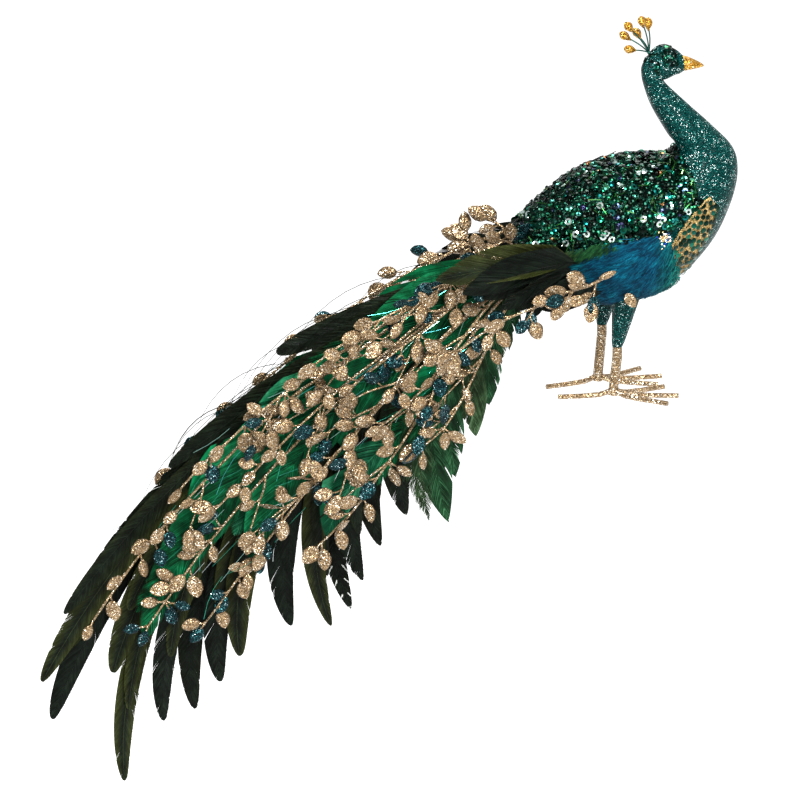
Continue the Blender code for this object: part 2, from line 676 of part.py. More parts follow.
def leafed_stem(name, stem, start):
    """A wire stem with leaves left and right of it from a share of its length, welded into one piece."""
    pieces = []
    steps = len(stem) - 1
    for i in range(LEAVES):
        last_leaf = i == LEAVES - 1
        share = 1.0 if last_leaf else start + (1 - start) * (i + 0.5) / LEAVES
        segment = min(int(share * steps), steps - 1)
        base = stem[segment].lerp(stem[segment + 1], share * steps - segment)
        ahead = (stem[segment + 1] - stem[segment]).normalized()
        splay = 0 if last_leaf else LEAF_SPLAY * (1 if i % 2 else -1)
        across = Vector((0, -1, 0)).cross(ahead).normalized()
        direction = ahead * math.cos(splay) + across * math.sin(splay)
        sink = STEM_DIAMETER * LEAF_SINK[last_leaf]
        pieces.append(droplet("leaf", base - direction * sink, direction, LEAF_LENGTH, LEAF_WIDTH,
                              LEAF_THICKNESS, Vector((0, 1, 0)), STALK_LENGTH, STEM_DIAMETER * STALK_WIDTH))
    mesh = boolean(name, tube(name, stem, STEM_DIAMETER), pieces, "UNION")
    finish(name, mesh, "champagne_glitter")


def make_spray(name, side, layer, root, first, last, end_w):
    """A spray of the tail, in its own layer."""
    stem = []
    for i in range(STEM_STEPS + 1):
        share = i / STEM_STEPS
        rise = root * ROOT_SPREAD
        rise += (end_w * TAIL_LENGTH - rise) * math.sin(math.pi / 2 * share) ** STEM_EASE
        stem.append(tail_point(GAP + (last * TAIL_LENGTH - GAP) * share, rise, side * layer))
    leafed_stem(name, stem, first / last)


# The spray over the right flank, from its root on the down tuft back toward the tail: x, depth and z
FLANK_ROOT = (3.0, 112.5)    # station and angle of its root
FLANK_ROUTE = [(-0.025, 0.0600, 0.118), (-0.060, 0.0605, 0.107), (-0.100, 0.0605, 0.090),
               (-0.140, 0.0600, 0.069)]
FLANK_START = 0.12           # share of its stem with no leaves


def make_flank_spray():
    """One spray laid over the right wing, its root on the fullest part of the down."""
    lift = down_lift(*FLANK_ROOT) + GAP + STEM_DIAMETER / 2
    stem = [skin(*FLANK_ROOT, lift)] + [Vector((x, -depth, z)) for x, depth, z in FLANK_ROUTE]
    leafed_stem("flank_spray", stem, FLANK_START)


def make_sprays():
    """The leaf sprays of both sides, the left side with fewer."""
    for i, row in enumerate(SPRAYS):
        make_spray(f"leaf_spray_right_{i + 1}", 1, *row)
    for n, i in enumerate(LEFT_SPRAYS):
        make_spray(f"leaf_spray_left_{n + 1}", -1, *SPRAYS[i])


make_body()
make_beak()
make_crest()
make_coat()
for side, label, toe_out, droop in ((1, "right", -13, 0), (-1, "left", 2, LEFT_WING_DROOP)):
    make_filigree(f"filigree_{label}", side)
    make_down(f"down_tuft_{label}", side)
    make_thigh(f"thigh_{label}", side)
    make_leg(f"leg_{label}", side, toe_out)
    for n, feather in enumerate(WING_FEATHERS):
        make_wing_feather(f"wing_feather_{label}_{n + 1}", side, droop, *feather)
make_tail_feathers()
make_green_feathers()
make_sprays()
make_flank_spray()
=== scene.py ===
"""Looks of the peacock ornament: a glitter bird with a sequin back, dyed feathers and wire leaf sprays."""
import random
from math import copysign, cos, exp, pi, radians, sin, tan, tau

import bpy
from mathutils import Matrix, Vector, noise


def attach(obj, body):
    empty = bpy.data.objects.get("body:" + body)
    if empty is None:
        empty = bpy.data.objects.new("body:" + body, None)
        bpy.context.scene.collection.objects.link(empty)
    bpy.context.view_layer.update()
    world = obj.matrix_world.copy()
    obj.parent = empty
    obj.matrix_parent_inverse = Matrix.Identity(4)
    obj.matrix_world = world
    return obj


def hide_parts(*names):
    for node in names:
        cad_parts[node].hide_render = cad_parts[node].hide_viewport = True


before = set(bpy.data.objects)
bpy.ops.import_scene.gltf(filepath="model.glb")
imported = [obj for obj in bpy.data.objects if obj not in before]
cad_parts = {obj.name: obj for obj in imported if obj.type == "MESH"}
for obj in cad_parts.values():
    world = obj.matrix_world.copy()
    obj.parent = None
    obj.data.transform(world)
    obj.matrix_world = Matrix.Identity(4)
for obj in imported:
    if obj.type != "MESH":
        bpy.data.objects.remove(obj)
scene = bpy.context.scene
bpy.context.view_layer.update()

# Camera: a long lens at the height of the bird's breast, a little to its right and above it.
# The view centre lies left of the perch and a little under it, as measured across the picture.
VIEW_TURN = radians(-10)
VIEW_RISE = radians(18)
VIEW_CENTRE = (-0.1822, -0.0100)
VIEW_WIDTH = 0.704
VIEW_DISTANCE = 30.0
SENSOR = 36.0


def outward(turn, rise):
    """The direction away from the bird, turned round it and raised, both in radians."""
    return Vector((sin(turn) * cos(rise), -cos(turn) * cos(rise), sin(rise)))


view_right = Vector((cos(VIEW_TURN), sin(VIEW_TURN), 0))
view_back = outward(VIEW_TURN, VIEW_RISE)
view_up = view_back.cross(view_right)
camera = bpy.data.objects.new("camera", bpy.data.cameras.new("camera"))
camera.data.sensor_width = SENSOR
camera.data.lens = SENSOR * VIEW_DISTANCE / VIEW_WIDTH
camera.data.clip_end = 100
camera.matrix_world = (
    Matrix.Translation(view_right * VIEW_CENTRE[0] + view_up * VIEW_CENTRE[1] + view_back * VIEW_DISTANCE)
    @ Matrix((view_right, view_up, view_back)).transposed().to_4x4())
scene.collection.objects.link(camera)
scene.camera = camera

# Studio: white paper walls all round and four soft boxes, the strongest over the bird's right breast.
# The walls show as pure white, and light the bird less than that.
# Name, turn round the bird and height in degrees, side of the box in metres, and power in watts.
SOFT_BOXES = [("key_light", 24, 46, 0.9, 118), ("breast_light", 2, 24, 0.3, 14),
              ("fill_light", -62, 28, 1.4, 40), ("back_light", 165, 55, 1.4, 60)]
BOX_DISTANCE = 2.4
BOX_CENTRE = Vector((-0.1, 0, 0))
WALL_GLOW = 0.50

for name, turn, rise, side, power in SOFT_BOXES:
    light = bpy.data.objects.new(name, bpy.data.lights.new(name, "AREA"))
    light.data.size = side
    light.data.energy = power
    away = outward(radians(turn), radians(rise))
    light.location = away * BOX_DISTANCE + BOX_CENTRE
    light.rotation_euler = away.to_track_quat("Z", "Y").to_euler()
    scene.collection.objects.link(light)
studio = bpy.data.worlds.new("studio")
studio.use_nodes = True
walls = studio.node_tree
wall = walls.nodes["Background"]
wall.inputs["Color"].default_value = (1, 1, 1, 1)
glow = walls.nodes.new("ShaderNodeMath")
glow.operation = "MULTIPLY_ADD"
glow.inputs[1].default_value = 1 - WALL_GLOW
glow.inputs[2].default_value = WALL_GLOW
walls.links.new(walls.nodes.new("ShaderNodeLightPath").outputs["Is Camera Ray"], glow.inputs[0])
walls.links.new(glow.outputs[0], wall.inputs["Strength"])
scene.world = studio
scene.view_settings.view_transform = "Standard"


# Floor: a plain pale sheet of paper far under the perch, as below a mantel, so the tail hangs free.
# It is rolled out wide enough to fill the view.
FLOOR_DROP = 1.1
FLOOR_SIDE = 30


class Wire:
    """A value that runs through a finish: sums of it add Math nodes."""

    def __init__(self, finish, socket):
        self.finish = finish
        self.socket = socket

    def sum(self, operation, first, second):
        return self.finish.node("ShaderNodeMath", {"operation": operation}, {0: first, 1: second})[0]

    def __add__(self, other):
        return self.sum("ADD", self, other)

    def __radd__(self, other):
        return self.sum("ADD", other, self)

    def __sub__(self, other):
        return self.sum("SUBTRACT", self, other)

    def __rsub__(self, other):
        return self.sum("SUBTRACT", other, self)

    def __mul__(self, other):
        return self.sum("MULTIPLY", self, other)

    def __pow__(self, other):
        return self.sum("POWER", self, other)

    def __mod__(self, other):
        return self.sum("MODULO", self, other)

    def __gt__(self, other):
        return self.sum("GREATER_THAN", self, other)


class Finish:
    """A material in the making: its Principled shader, and one method that adds any other node."""

    def __init__(self, name, constants):
        self.material = bpy.data.materials.new(name)
        self.material.use_nodes = True
        self.tree = self.material.node_tree
        self.shader = self.tree.nodes["Principled BSDF"]
        self.set(constants)

    def set(self, sockets):
        self.fill(self.shader, sockets)

    def fill(self, node, sockets):
        for key, value in sockets.items():
            if isinstance(value, Wire):
                self.tree.links.new(value.socket, node.inputs[key])
            elif isinstance(value, tuple) and len(value) == 3 and node.inputs[key].type == "RGBA":
                node.inputs[key].default_value = (*value, 1)
            else:
                node.inputs[key].default_value = value

    def node(self, kind, settings, sockets):
        made = self.tree.nodes.new(kind)
        for name, value in settings.items():
            if name == "stops":
                ramp = made.color_ramp
                while len(ramp.elements) < len(value):
                    ramp.elements.new(1.0)
                for stop, (position, colour) in zip(ramp.elements, value):
                    stop.position = position
                    stop.color = (*colour, 1)
            elif name == "steps":
                made.color_ramp.interpolation = "CONSTANT" if value else "LINEAR"
            else:
                setattr(made, name, value)
        self.fill(made, sockets)
        outputs = {i: Wire(self, socket) for i, socket in enumerate(made.outputs)}
        outputs.update({socket.name: Wire(self, socket) for socket in reversed(made.outputs)})
        return outputs

    def mix(self, share, first, second):
        return self.node("ShaderNodeMix", {"data_type": "RGBA"}, {0: share, 6: first, 7: second})[2]

    def vector(self, operation, first, second):
        return self.node("ShaderNodeVectorMath", {"operation": operation}, {0: first, 1: second})["Vector"]

    def place(self):
        return self.node("ShaderNodeTexCoord", {}, {})["Object"]

    def mark(self, label):
        return self.node("ShaderNodeAttribute", {"attribute_name": label}, {})["Fac"]

    def cloud(self, size):
        return self.node("ShaderNodeTexNoise", {}, {"Vector": self.place(), "Scale": 1 / size})["Fac"]

    def streak(self, along):
        return self.node("ShaderNodeTexNoise", {"noise_dimensions": "1D"}, {"W": along, "Scale": 1.0})["Fac"]

    def scrap(self):
        """One random number for each loose barb, sequin or scrap."""
        return self.node("ShaderNodeNewGeometry", {}, {})["Random Per Island"]

    def ramp(self, stops, value, steps=False):
        return self.node("ShaderNodeValToRGB", {"stops": stops, "steps": steps}, {0: value})["Color"]


def ring(centre, side, other, radius, sides):
    """A circle of points in the plane of two directions."""
    turns = [tau * i / sides for i in range(sides)]
    return [centre + (side * cos(turn) + other * sin(turn)) * radius for turn in turns]


class Bundle:
    """Gathers the strips, rods and skins of one piece into one mesh."""

    def __init__(self):
        self.points = []
        self.faces = []
        self.marks = {"rim": [], "along": [], "tint": []}

    def add(self, points, rim=0.0, along=0.0, tint=0.0):
        first = len(self.points)
        self.points += points
        for label, value in (("rim", rim), ("along", along), ("tint", tint)):
            self.marks[label] += value if isinstance(value, list) else [value] * len(points)
        return first

    def skin(self, rows, closed=False, capped=False, **marks):
        """A grid of points, its rows closed into rings and its two end rings capped if asked."""
        wide = len(rows[0])
        first = self.add([point for row in rows for point in row], **marks)
        for r in range(len(rows) - 1):
            for i in range(wide if closed else wide - 1):
                j = (i + 1) % wide
                a = first + r * wide
                self.faces.append((a + i, a + j, a + wide + j, a + wide + i))
        if capped:
            last = first + (len(rows) - 1) * wide
            self.faces.append(tuple(range(first + wide - 1, first - 1, -1)))
            self.faces.append(tuple(range(last, last + wide)))

    def strip(self, line, halves, across, along=0.0, tint=0.0):
        """A flat strip along a line, such as a barb, with its rim mark from 0 at its root to 1 at its tip."""
        points = []
        rim = []
        for i, (point, half) in enumerate(zip(line, halves)):
            points += [point - across * half, point + across * half]
            rim += [i / (len(line) - 1)] * 2
        first = self.add(points, rim, along, tint)
        for i in range(len(line) - 1):
            a = first + 2 * i
            self.faces.append((a, a + 1, a + 3, a + 2))

    def rod(self, line, radii, sides=6, face=Vector((0, 1, 0)), **marks):
        """A round wire or quill along a line, with its own radius at each point."""
        rows = []
        for i, (point, radius) in enumerate(zip(line, radii)):
            ahead = (line[min(i + 1, len(line) - 1)] - line[max(i - 1, 0)]).normalized()
            side = ahead.cross(face).normalized()
            other = side.cross(ahead)
            rows.append(ring(point, side, other, radius, sides))
        self.skin(rows, closed=True, capped=True, **marks)

    def piece(self, name, finish):
        mesh = bpy.data.meshes.new(name)
        mesh.from_pydata(self.points, [], self.faces)
        for label, values in self.marks.items():
            mesh.attributes.new(label, "FLOAT", "POINT").data.foreach_set("value", values)
        mesh.shade_smooth()
        mesh.materials.append(finish.material)
        made = bpy.data.objects.new(name, mesh)
        scene.collection.objects.link(made)
        return made

    def settle(self, name, finish, slot, node=None):
        """Make the piece, fixed to the bird, and hide the CAD node that it stands for; the slot is not used.
        """
        made = self.piece(name, finish)
        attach(made, "root")
        if node:
            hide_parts(node)


paper = Finish("floor_paper", {"Roughness": 0.9, "Specular IOR Level": 0.2, "Emission Color": (1.0, 1.0, 1.0),
                               "Emission Strength": 0.55})
paper.set({"Base Color": paper.mix(paper.cloud(0.4), (0.93, 0.93, 0.93), (0.95, 0.95, 0.95))})
floor_sheet = Bundle()
half = FLOOR_SIDE / 2
floor_sheet.skin([[Vector((x, y, -FLOOR_DROP)) for x in (-half, half)] for y in (-half, half)])
floor_sheet.piece("floor", paper)


# Body: neck, head and belly moulded as one, brushed with glue and rolled in fine teal glitter.
# It is cut flat at the rump, where the tail is bound in, and at the face, where the beak sits.
FIGURE_HEIGHT = 0.316
BODY_SIDES = 56
BODY_STEPS = 8
# from the rump to the beak, as shares of the figure's height: centre x and z, half height and half
# width, and the lean of the section in degrees
STATIONS = [
    (-0.247, 0.405, 0.075, 0.080, 112), (-0.158, 0.430, 0.132, 0.114, 104),
    (-0.054, 0.455, 0.178, 0.146, 101),
    (0.047, 0.478, 0.190, 0.158, 100), (0.146, 0.494, 0.181, 0.152, 103), (0.228, 0.539, 0.141, 0.133, 112),
    (0.269, 0.608, 0.112, 0.111, 132), (0.278, 0.668, 0.098, 0.092, 155), (0.261, 0.712, 0.094, 0.080, 166),
    (0.222, 0.763, 0.078, 0.067, 170), (0.181, 0.813, 0.058, 0.053, 175), (0.146, 0.861, 0.039, 0.038, 180),
    (0.127, 0.899, 0.032, 0.033, 168), (0.134, 0.922, 0.041, 0.036, 142), (0.168, 0.949, 0.047, 0.039, 115),
    (0.194, 0.946, 0.037, 0.034, 101), (0.212, 0.939, 0.023, 0.022, 92),
]
TEAL_FLAKES = [(0.0, (0.0, 0.004, 0.004)), (0.30, (0.0, 0.014, 0.013)), (0.62, (0.0, 0.034, 0.030)),
               (0.88, (0.004, 0.085, 0.074)), (0.958, (0.12, 0.36, 0.33)), (0.985, (0.85, 1.0, 0.97))]


def station(place):
    """The body's section at a place between stations."""
    i = min(int(place), len(STATIONS) - 2)
    f = place - i
    before = STATIONS[max(i - 1, 0)]
    after = STATIONS[min(i + 2, len(STATIONS) - 1)]
    return [
        (2 * f**3 - 3 * f**2 + 1) * b + (f**3 - 2 * f**2 + f) * (c - a) / 2
        + (3 * f**2 - 2 * f**3) * c + (f**3 - f**2) * (d - b) / 2
        for a, b, c, d in zip(before, STATIONS[i], STATIONS[i + 1], after)]


def hide(place, degrees, lift=0.0):
    """A point of the body's surface: 0 degrees is the back, 90 the bird's right flank."""
    x, z, high, wide, lean = station(place)
    lean, angle = radians(lean), radians(degrees)
    along = cos(angle) * (high * FIGURE_HEIGHT + lift)
    across = sin(angle) * (wide * FIGURE_HEIGHT + lift)
    return Vector((x * FIGURE_HEIGHT + along * cos(lean), -across,
                   z * FIGURE_HEIGHT + along * sin(lean)))


def glitter(name, flakes, size, tilt, rough=(0.16, 0.42), metallic=0.75, specular=0.3, lacquer=0.0,
            edge=0.0):
    """Glued glitter: every flake has its own shade, gloss and tilt, over clouds of thick and thin.

    Lacquer gives some flakes a clear gloss, and edge paints shade where the rim mark is high, at leaf edges.
    """
    finish = Finish(name, {"Metallic": metallic, "Specular IOR Level": specular})
    cells = finish.node("ShaderNodeTexVoronoi", {}, {"Vector": finish.place(), "Scale": 1 / size})["Color"]
    parts = finish.node("ShaderNodeSeparateColor", {}, {0: cells})
    thick = (finish.cloud(size * 14) - 0.5) * 0.25
    shade = finish.ramp(flakes, parts["Red"] + thick, True)
    lean = finish.vector("MULTIPLY", finish.vector("SUBTRACT", cells, (0.5, 0.5, 0.5)), (tilt, tilt, tilt))
    normal = finish.vector("ADD", finish.node("ShaderNodeNewGeometry", {}, {})["Normal"], lean)
    # painted shade: the glitter darkens toward its darkest flake where the rim mark is high, along leaf edges
    painted_edge_shade = finish.mix(finish.mark("rim") ** 5 * edge, shade, flakes[0][1])
    finish.set({"Base Color": painted_edge_shade, "Roughness": parts["Green"] * (rough[1] - rough[0]) + rough[0],
                "Normal": finish.vector("NORMALIZE", normal, normal)})
    if lacquer:
        finish.set({"Coat Weight": (parts["Blue"] > 0.78) * lacquer, "Coat Roughness": 0.22})
    return finish


teal_glitter = glitter("teal_glitter_coat", TEAL_FLAKES, 0.0005, 0.8, rough=(0.14, 0.40), metallic=0.06,
                       specular=0.02, lacquer=0.35)
bird = Bundle()
bird.skin([[hide(r / BODY_STEPS, 360 * i / BODY_SIDES) for i in range(BODY_SIDES)]
           for r in range((len(STATIONS) - 1) * BODY_STEPS + 1)], closed=True, capped=True)
bird.settle("glitter_body", teal_glitter, "teal_glitter", "body")


# Beak: a short closed bill pressed onto the flat of the face, dipped in yellow gold glitter.
# Its tip hooks down a little and a groove parts its two halves.
BEAK_LENGTH = 0.0185
BEAK_SIDES = 24
GROOVE_DEPTH = 0.10
GROOVE_WIDTH = 0.12
GROOVE_PLACE = -0.1
# reach, size and sink of its sections
BEAK_ROWS = [(0, 0.97, 0), (0.12, 0.91, 0.045), (0.25, 0.84, 0.095), (0.38, 0.745, 0.155), (0.5, 0.64, 0.22),
             (0.63, 0.53, 0.295), (0.75, 0.415, 0.365), (0.88, 0.27, 0.45), (1, 0.10, 0.54)]
GOLD_FLAKES = [(0.0, (0.10, 0.038, 0.003)), (0.25, (0.28, 0.125, 0.010)), (0.55, (0.50, 0.26, 0.026)),
               (0.86, (0.80, 0.52, 0.12)), (0.965, (1.0, 0.92, 0.60))]

gold_glitter = glitter("yellow_gold_glitter", GOLD_FLAKES, 0.0008, 1.0)
x, z, high, wide, lean = STATIONS[-1]
lean = radians(lean)
bill_up = Vector((cos(lean), 0, sin(lean)))
bill_out = Vector((sin(lean), 0, -cos(lean)))
bill = Bundle()
rows = []
for reach, size, sink in BEAK_ROWS:
    centre = Vector((x, 0, z)) * FIGURE_HEIGHT + bill_out * (reach * BEAK_LENGTH)
    centre -= bill_up * (sink * high * FIGURE_HEIGHT)
    row = []
    for i in range(BEAK_SIDES):
        turn = tau * i / BEAK_SIDES
        groove = 1 - GROOVE_DEPTH * exp(-((cos(turn) - GROOVE_PLACE) / GROOVE_WIDTH) ** 2)
        row.append(centre + bill_up * (cos(turn) * high * size * FIGURE_HEIGHT)
                   + Vector((0, sin(turn) * wide * size * groove * FIGURE_HEIGHT, 0)))
    rows.append(row)
bill.skin(rows, closed=True, capped=True)
bill.settle("glitter_beak", gold_glitter, "gold_glitter", "beak")


# Crest: six thin green wires twisted into one bead on the crown, each dipped to a gold glitter drop.
# The wires and the drops are two finishes, so they are two pieces.
CREST_PLACE = 13.45
CREST_BEAD = 0.0034
CREST_HEIGHT = 0.0350
CREST_DROP = 0.0122
CREST_WIRE = 0.0013
CREST_BOW = Vector((0.0012, 0, 0.0004))
DROP_SHARE = 0.27
DROP_TIP = 0.0006
DROP_SIDES = 12
DROP_STEPS = 10
# lean back in degrees, share of the crest's height, lean to the side in degrees
CREST_STALKS = [(0, 0.83, 8), (13, 1.0, -10), (30, 0.66, 14), (36, 1.0, -6), (54, 0.83, 10), (74, 0.63, -12)]


def bead(bundle, centre, radius, sides=10):
    """A round bead."""
    axis = Vector((0, 0, 1))
    side = axis.orthogonal().normalized()
    other = axis.cross(side)
    rows = []
    for r in range(sides // 2 + 1):
        polar = pi * (r + 0.02) / (sides // 2 + 0.04)
        middle = centre + axis * (cos(polar) * radius)
        rows.append(ring(middle, side, other, sin(polar) * radius, sides))
    bundle.skin(rows, closed=True, capped=True)


wire_finish = Finish("green_crest_wire", {"Metallic": 0.6, "Roughness": 0.35})
wire_green = wire_finish.mix(wire_finish.cloud(0.002), (0.0, 0.02, 0.015), (0.0, 0.07, 0.05))
wire_finish.set({"Base Color": wire_green})
wires, drops = Bundle(), Bundle()
seat = hide(CREST_PLACE, 0, CREST_BEAD / 2)
bead(wires, seat, CREST_BEAD / 2)
for lean, share, side in CREST_STALKS:
    back, out = radians(lean), radians(side)
    direction = Vector((-sin(back) * cos(out), sin(out), cos(back) * cos(out)))
    end = seat + direction * (CREST_HEIGHT * share - CREST_DROP * 0.8)
    line = [seat.lerp(end, i / 5) + CREST_BOW * sin(pi * i / 6) for i in range(7)]
    wires.rod(line, [CREST_WIRE / 2] * 7)
    rows = []
    across = direction.cross(Vector((0, 1, 0))).normalized()
    other = direction.cross(across)
    for r in range(DROP_STEPS + 1):
        share = r / DROP_STEPS
        swell = abs(sin(pi * share**1.4)) ** 0.8 * CREST_DROP * DROP_SHARE + DROP_TIP
        middle = end + direction * CREST_DROP * share
        row = []
        for i, point in enumerate(ring(Vector(), across, other, swell, DROP_SIDES)):
            row.append(middle + point * (1 + 0.10 * noise.noise(Vector((r, i, back)) * 1.7)))
        rows.append(row)
    drops.skin(rows, closed=True, capped=True)
wires.settle("crest_wires", wire_finish, "teal_glitter")
drops.settle("crest_drops", gold_glitter, "gold_glitter", "crest")


# Sequin coat: cup sequins and cut tinsel scattered into wet glue over the back and flanks, and a cap
# of smaller ones over the crown. The glued bed under them is the CAD coat itself.
COAT_EDGE = 88
COAT_FRONT = 6.0
COAT_FRONT_SLANT = 0.7
SEQUINS = 2700
TOP_SEQUINS = 620
SEQUIN_RADIUS = 0.0031
SEQUIN_SIDES = 10
SEQUIN_POINTS = 3 * SEQUIN_SIDES
BED_LIFTS = (0.0012, 0.0030)
BED_TILT = 44
TOP_LIFT = 0.0033
TOP_TILT = 20
# flat mirror sequins
FLAT_SEQUINS = 34
FLAT_LIFT = 0.0038
FLAT_TILT = 18
# scraps of tinsel
SLIVERS = 420
SLIVER_LIFT = 0.0035
SLIVER_REACH = (0.003, 0.0065)
SLIVER_HALF = 0.00035
# the cap on the crown
CAP_SEQUINS = 110
CAP_ENDS = (13.1, 14.9)
CAP_EDGE = 92
CAP_LIFTS = (0.0003, 0.0009)
CAP_TILT = 16
FLAT_SHADES = [(0.0, (0.80, 0.95, 0.90)), (0.35, (0.02, 0.26, 0.22)), (0.55, (0.02, 0.035, 0.07)),
               (0.75, (0.0, 0.10, 0.06)), (0.985, (0.55, 0.15, 0.42))]
SEQUIN_SHADES = [
    (0.0, (0.001, 0.005, 0.003)), (0.36, (0.0, 0.014, 0.008)), (0.60, (0.001, 0.038, 0.020)),
    (0.78, (0.003, 0.078, 0.042)), (0.86, (0.0, 0.085, 0.078)), (0.895, (0.014, 0.018, 0.045)),
    (0.925, (0.06, 0.28, 0.20)), (0.965, (0.70, 0.92, 0.85)), (0.990, (0.55, 0.25, 0.10)),
    (0.997, (0.45, 0.12, 0.36))]
SLIVER_SHADES = [(0.0, (0.004, 0.03, 0.004)), (0.5, (0.010, 0.08, 0.010)), (0.88, (0.12, 0.30, 0.08))]
CAP_SHADES = [(0.0, (0.001, 0.006, 0.004)), (0.5, (0.0, 0.016, 0.010)), (0.85, (0.0, 0.045, 0.025)),
              (0.97, (0.02, 0.30, 0.10)), (0.985, (0.6, 0.85, 0.75))]
BED_SHADES = [(0.0, (0.0, 0.008, 0.005)), (0.5, (0.0, 0.03, 0.018)), (0.9, (0.02, 0.12, 0.07))]

chance = random.Random(5)
between = chance.uniform


def seat_on_body(place, degrees, lift):
    """A point over the body, with the directions out of it, toward the head, and round it."""
    point = hide(place, degrees, lift)
    ahead = (hide(place + 0.05, degrees, lift) - hide(place - 0.05, degrees, lift)).normalized()
    around = (hide(place, degrees + 1, lift) - hide(place, degrees - 1, lift)).normalized()
    out = ahead.cross(around).normalized()
    if out.dot(point - hide(place, degrees, -0.01)) < 0:
        out = -out
    return point, out, ahead, around


def sequin(bundle, centre, out, radius, dish=1.0, hole=0.24):
    """A cup sequin: a dished disc with a hole, tilted as it fell into the glue."""
    side = out.orthogonal().normalized()
    other = out.cross(side)
    bundle.skin([ring(centre + out * (rise * radius * dish), side, other, size * radius, SEQUIN_SIDES)
                 for size, rise in ((1.0, 0.0), (0.62, 0.16), (hole, 0.20))], closed=True)


def throw(spread):
    """A random step, mostly shorter than twice its spread."""
    return Vector([chance.gauss(0, spread) for _ in range(3)])


def tilted(out, degrees):
    """A direction thrown off another by some degrees or less, now and then by more."""
    return (out + throw(0.5) * tan(radians(degrees))).normalized()


def shiny(name, shades, rough):
    """Thin metallised plastic: each scrap has one shade, with a faint rainbow across the sheet."""
    finish = Finish(name, {"Metallic": 1.0, "Coat Roughness": 0.05})
    base = finish.ramp(shades, finish.scrap(), True)
    hue = finish.cloud(0.004) * 0.16 + 0.42
    rainbow = finish.node("ShaderNodeHueSaturation", {}, {"Hue": hue, "Color": base})["Color"]
    finish.set({"Base Color": rainbow, "Roughness": finish.cloud(0.001) * rough + rough * 0.5,
                "Coat Weight": finish.cloud(0.003) * 0.25})
    return finish


coat = Bundle()
while len(coat.points) < SEQUINS * SEQUIN_POINTS:
    place = between(0.05, COAT_FRONT)
    degrees = between(-COAT_EDGE, COAT_EDGE)
    if chance.random() > station(place)[2] / 0.2:
        continue
    if place > COAT_FRONT - COAT_FRONT_SLANT * abs(degrees) / COAT_EDGE + between(-0.15, 0.1):
        continue
    top = len(coat.points) > (SEQUINS - TOP_SEQUINS) * SEQUIN_POINTS
    point, out = seat_on_body(place, degrees, TOP_LIFT if top else between(*BED_LIFTS))[:2]
    out = tilted(out, TOP_TILT if top else BED_TILT)
    sequin(coat, point, out, SEQUIN_RADIUS * chance.choice((0.62, 0.8, 1.0, 1.0)))
coat.settle("coat_sequins", shiny("cup_sequins", SEQUIN_SHADES, 0.22), "sequin_green")

# A few flat mirror sequins lie face up on top, most of them low on the flanks.
mirrors = Bundle()
for side in (1, -1):
    for _ in range(FLAT_SEQUINS):
        place = between(0.3, COAT_FRONT - 0.9)
        degrees = side * (COAT_EDGE - 4 - abs(chance.gauss(0, 20)))
        point, out = seat_on_body(place, degrees, FLAT_LIFT)[:2]
        sequin(mirrors, point, tilted(out, FLAT_TILT), SEQUIN_RADIUS, dish=0.3, hole=0.46)
mirrors.settle("flat_sequins", shiny("mirror_sequins", FLAT_SHADES, 0.12), "sequin_green")

cap = Bundle()
for _ in range(CAP_SEQUINS):
    place = between(*CAP_ENDS)
    degrees = between(-CAP_EDGE, CAP_EDGE)
    point, out = seat_on_body(place, degrees, between(*CAP_LIFTS))[:2]
    sequin(cap, point, tilted(out, CAP_TILT), SEQUIN_RADIUS * between(0.5, 0.8))
cap.settle("crown_sequins", shiny("crown_cap_sequins", CAP_SHADES, 0.3), "sequin_green")

tinsel = Bundle()
for _ in range(SLIVERS):
    place = between(0.1, COAT_FRONT - 0.5)
    point, out, ahead, around = seat_on_body(place, between(-COAT_EDGE, COAT_EDGE), SLIVER_LIFT)
    turn = between(0, pi)
    run = (ahead * cos(turn) + around * sin(turn) + out * between(-0.25, 0.35)).normalized()
    reach = between(*SLIVER_REACH)
    tinsel.strip([point - run * reach, point + out * 0.0004, point + run * reach], [SLIVER_HALF] * 3,
                 run.cross(tilted(out, 40)).normalized())
tinsel.settle("coat_tinsel", shiny("green_tinsel", SLIVER_SHADES, 0.3), "sequin_green")


def dress(node, finish):
    """Give a CAD solid its finish, where the solid itself is what shows."""
    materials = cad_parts[node].data.materials
    materials.clear()
    materials.append(finish.material)


dress("sequin_coat", glitter("coat_glue_bed", BED_SHADES, 0.0012, 1.0))


# Filigree: a patch of gold metal lace glued on each side of the breast, set with round green sequins,
# with a twisted gold gimp along its upper edge and a cluster of silver and white beads at its back.
LACE_LIFT = 0.0012
LACE_RUMPLE = 0.0006
LACE_ROWS = 62
LACE_COLUMNS = 56
# place along the body, and the degrees round it of the patch's upper and lower edge
FILIGREE_ROWS = [(4.0, 102, 147), (4.3, 95, 144), (4.7, 89, 134), (5.1, 86, 125), (5.5, 90, 118),
                 (5.75, 98, 114)]
# place and degrees of the points that the gimp is laid through
GIMP_LINE = [(5.75, 95), (5.5, 89), (5.1, 85), (4.7, 88), (4.3, 94), (4.0, 101)]
GIMP_STEPS = 60
GIMP_STRAND = 0.0006
GIMP_LIFT = 0.0024
DOTS = 78
DOT_RADIUS = 0.0026
DOT_LIFT = 0.0026
CLUSTER_BEADS = 46
CLUSTER_PLACE = (3.84, 92)
LACE_SHADES = [(0.0, (0.15, 0.088, 0.024)), (0.25, (0.28, 0.18, 0.060)), (0.6, (0.40, 0.28, 0.105)),
               (0.93, (0.80, 0.64, 0.34))]
DOT_SHADES = [(0.0, (0.0, 0.016, 0.010)), (0.45, (0.0, 0.040, 0.024)), (0.85, (0.004, 0.085, 0.055))]
BEAD_SHADES = [(0.0, (0.55, 0.42, 0.20)), (0.50, (0.85, 0.85, 0.80)), (0.88, (0.01, 0.06, 0.30))]
SIDES = ((1, "right"), (-1, "left"))


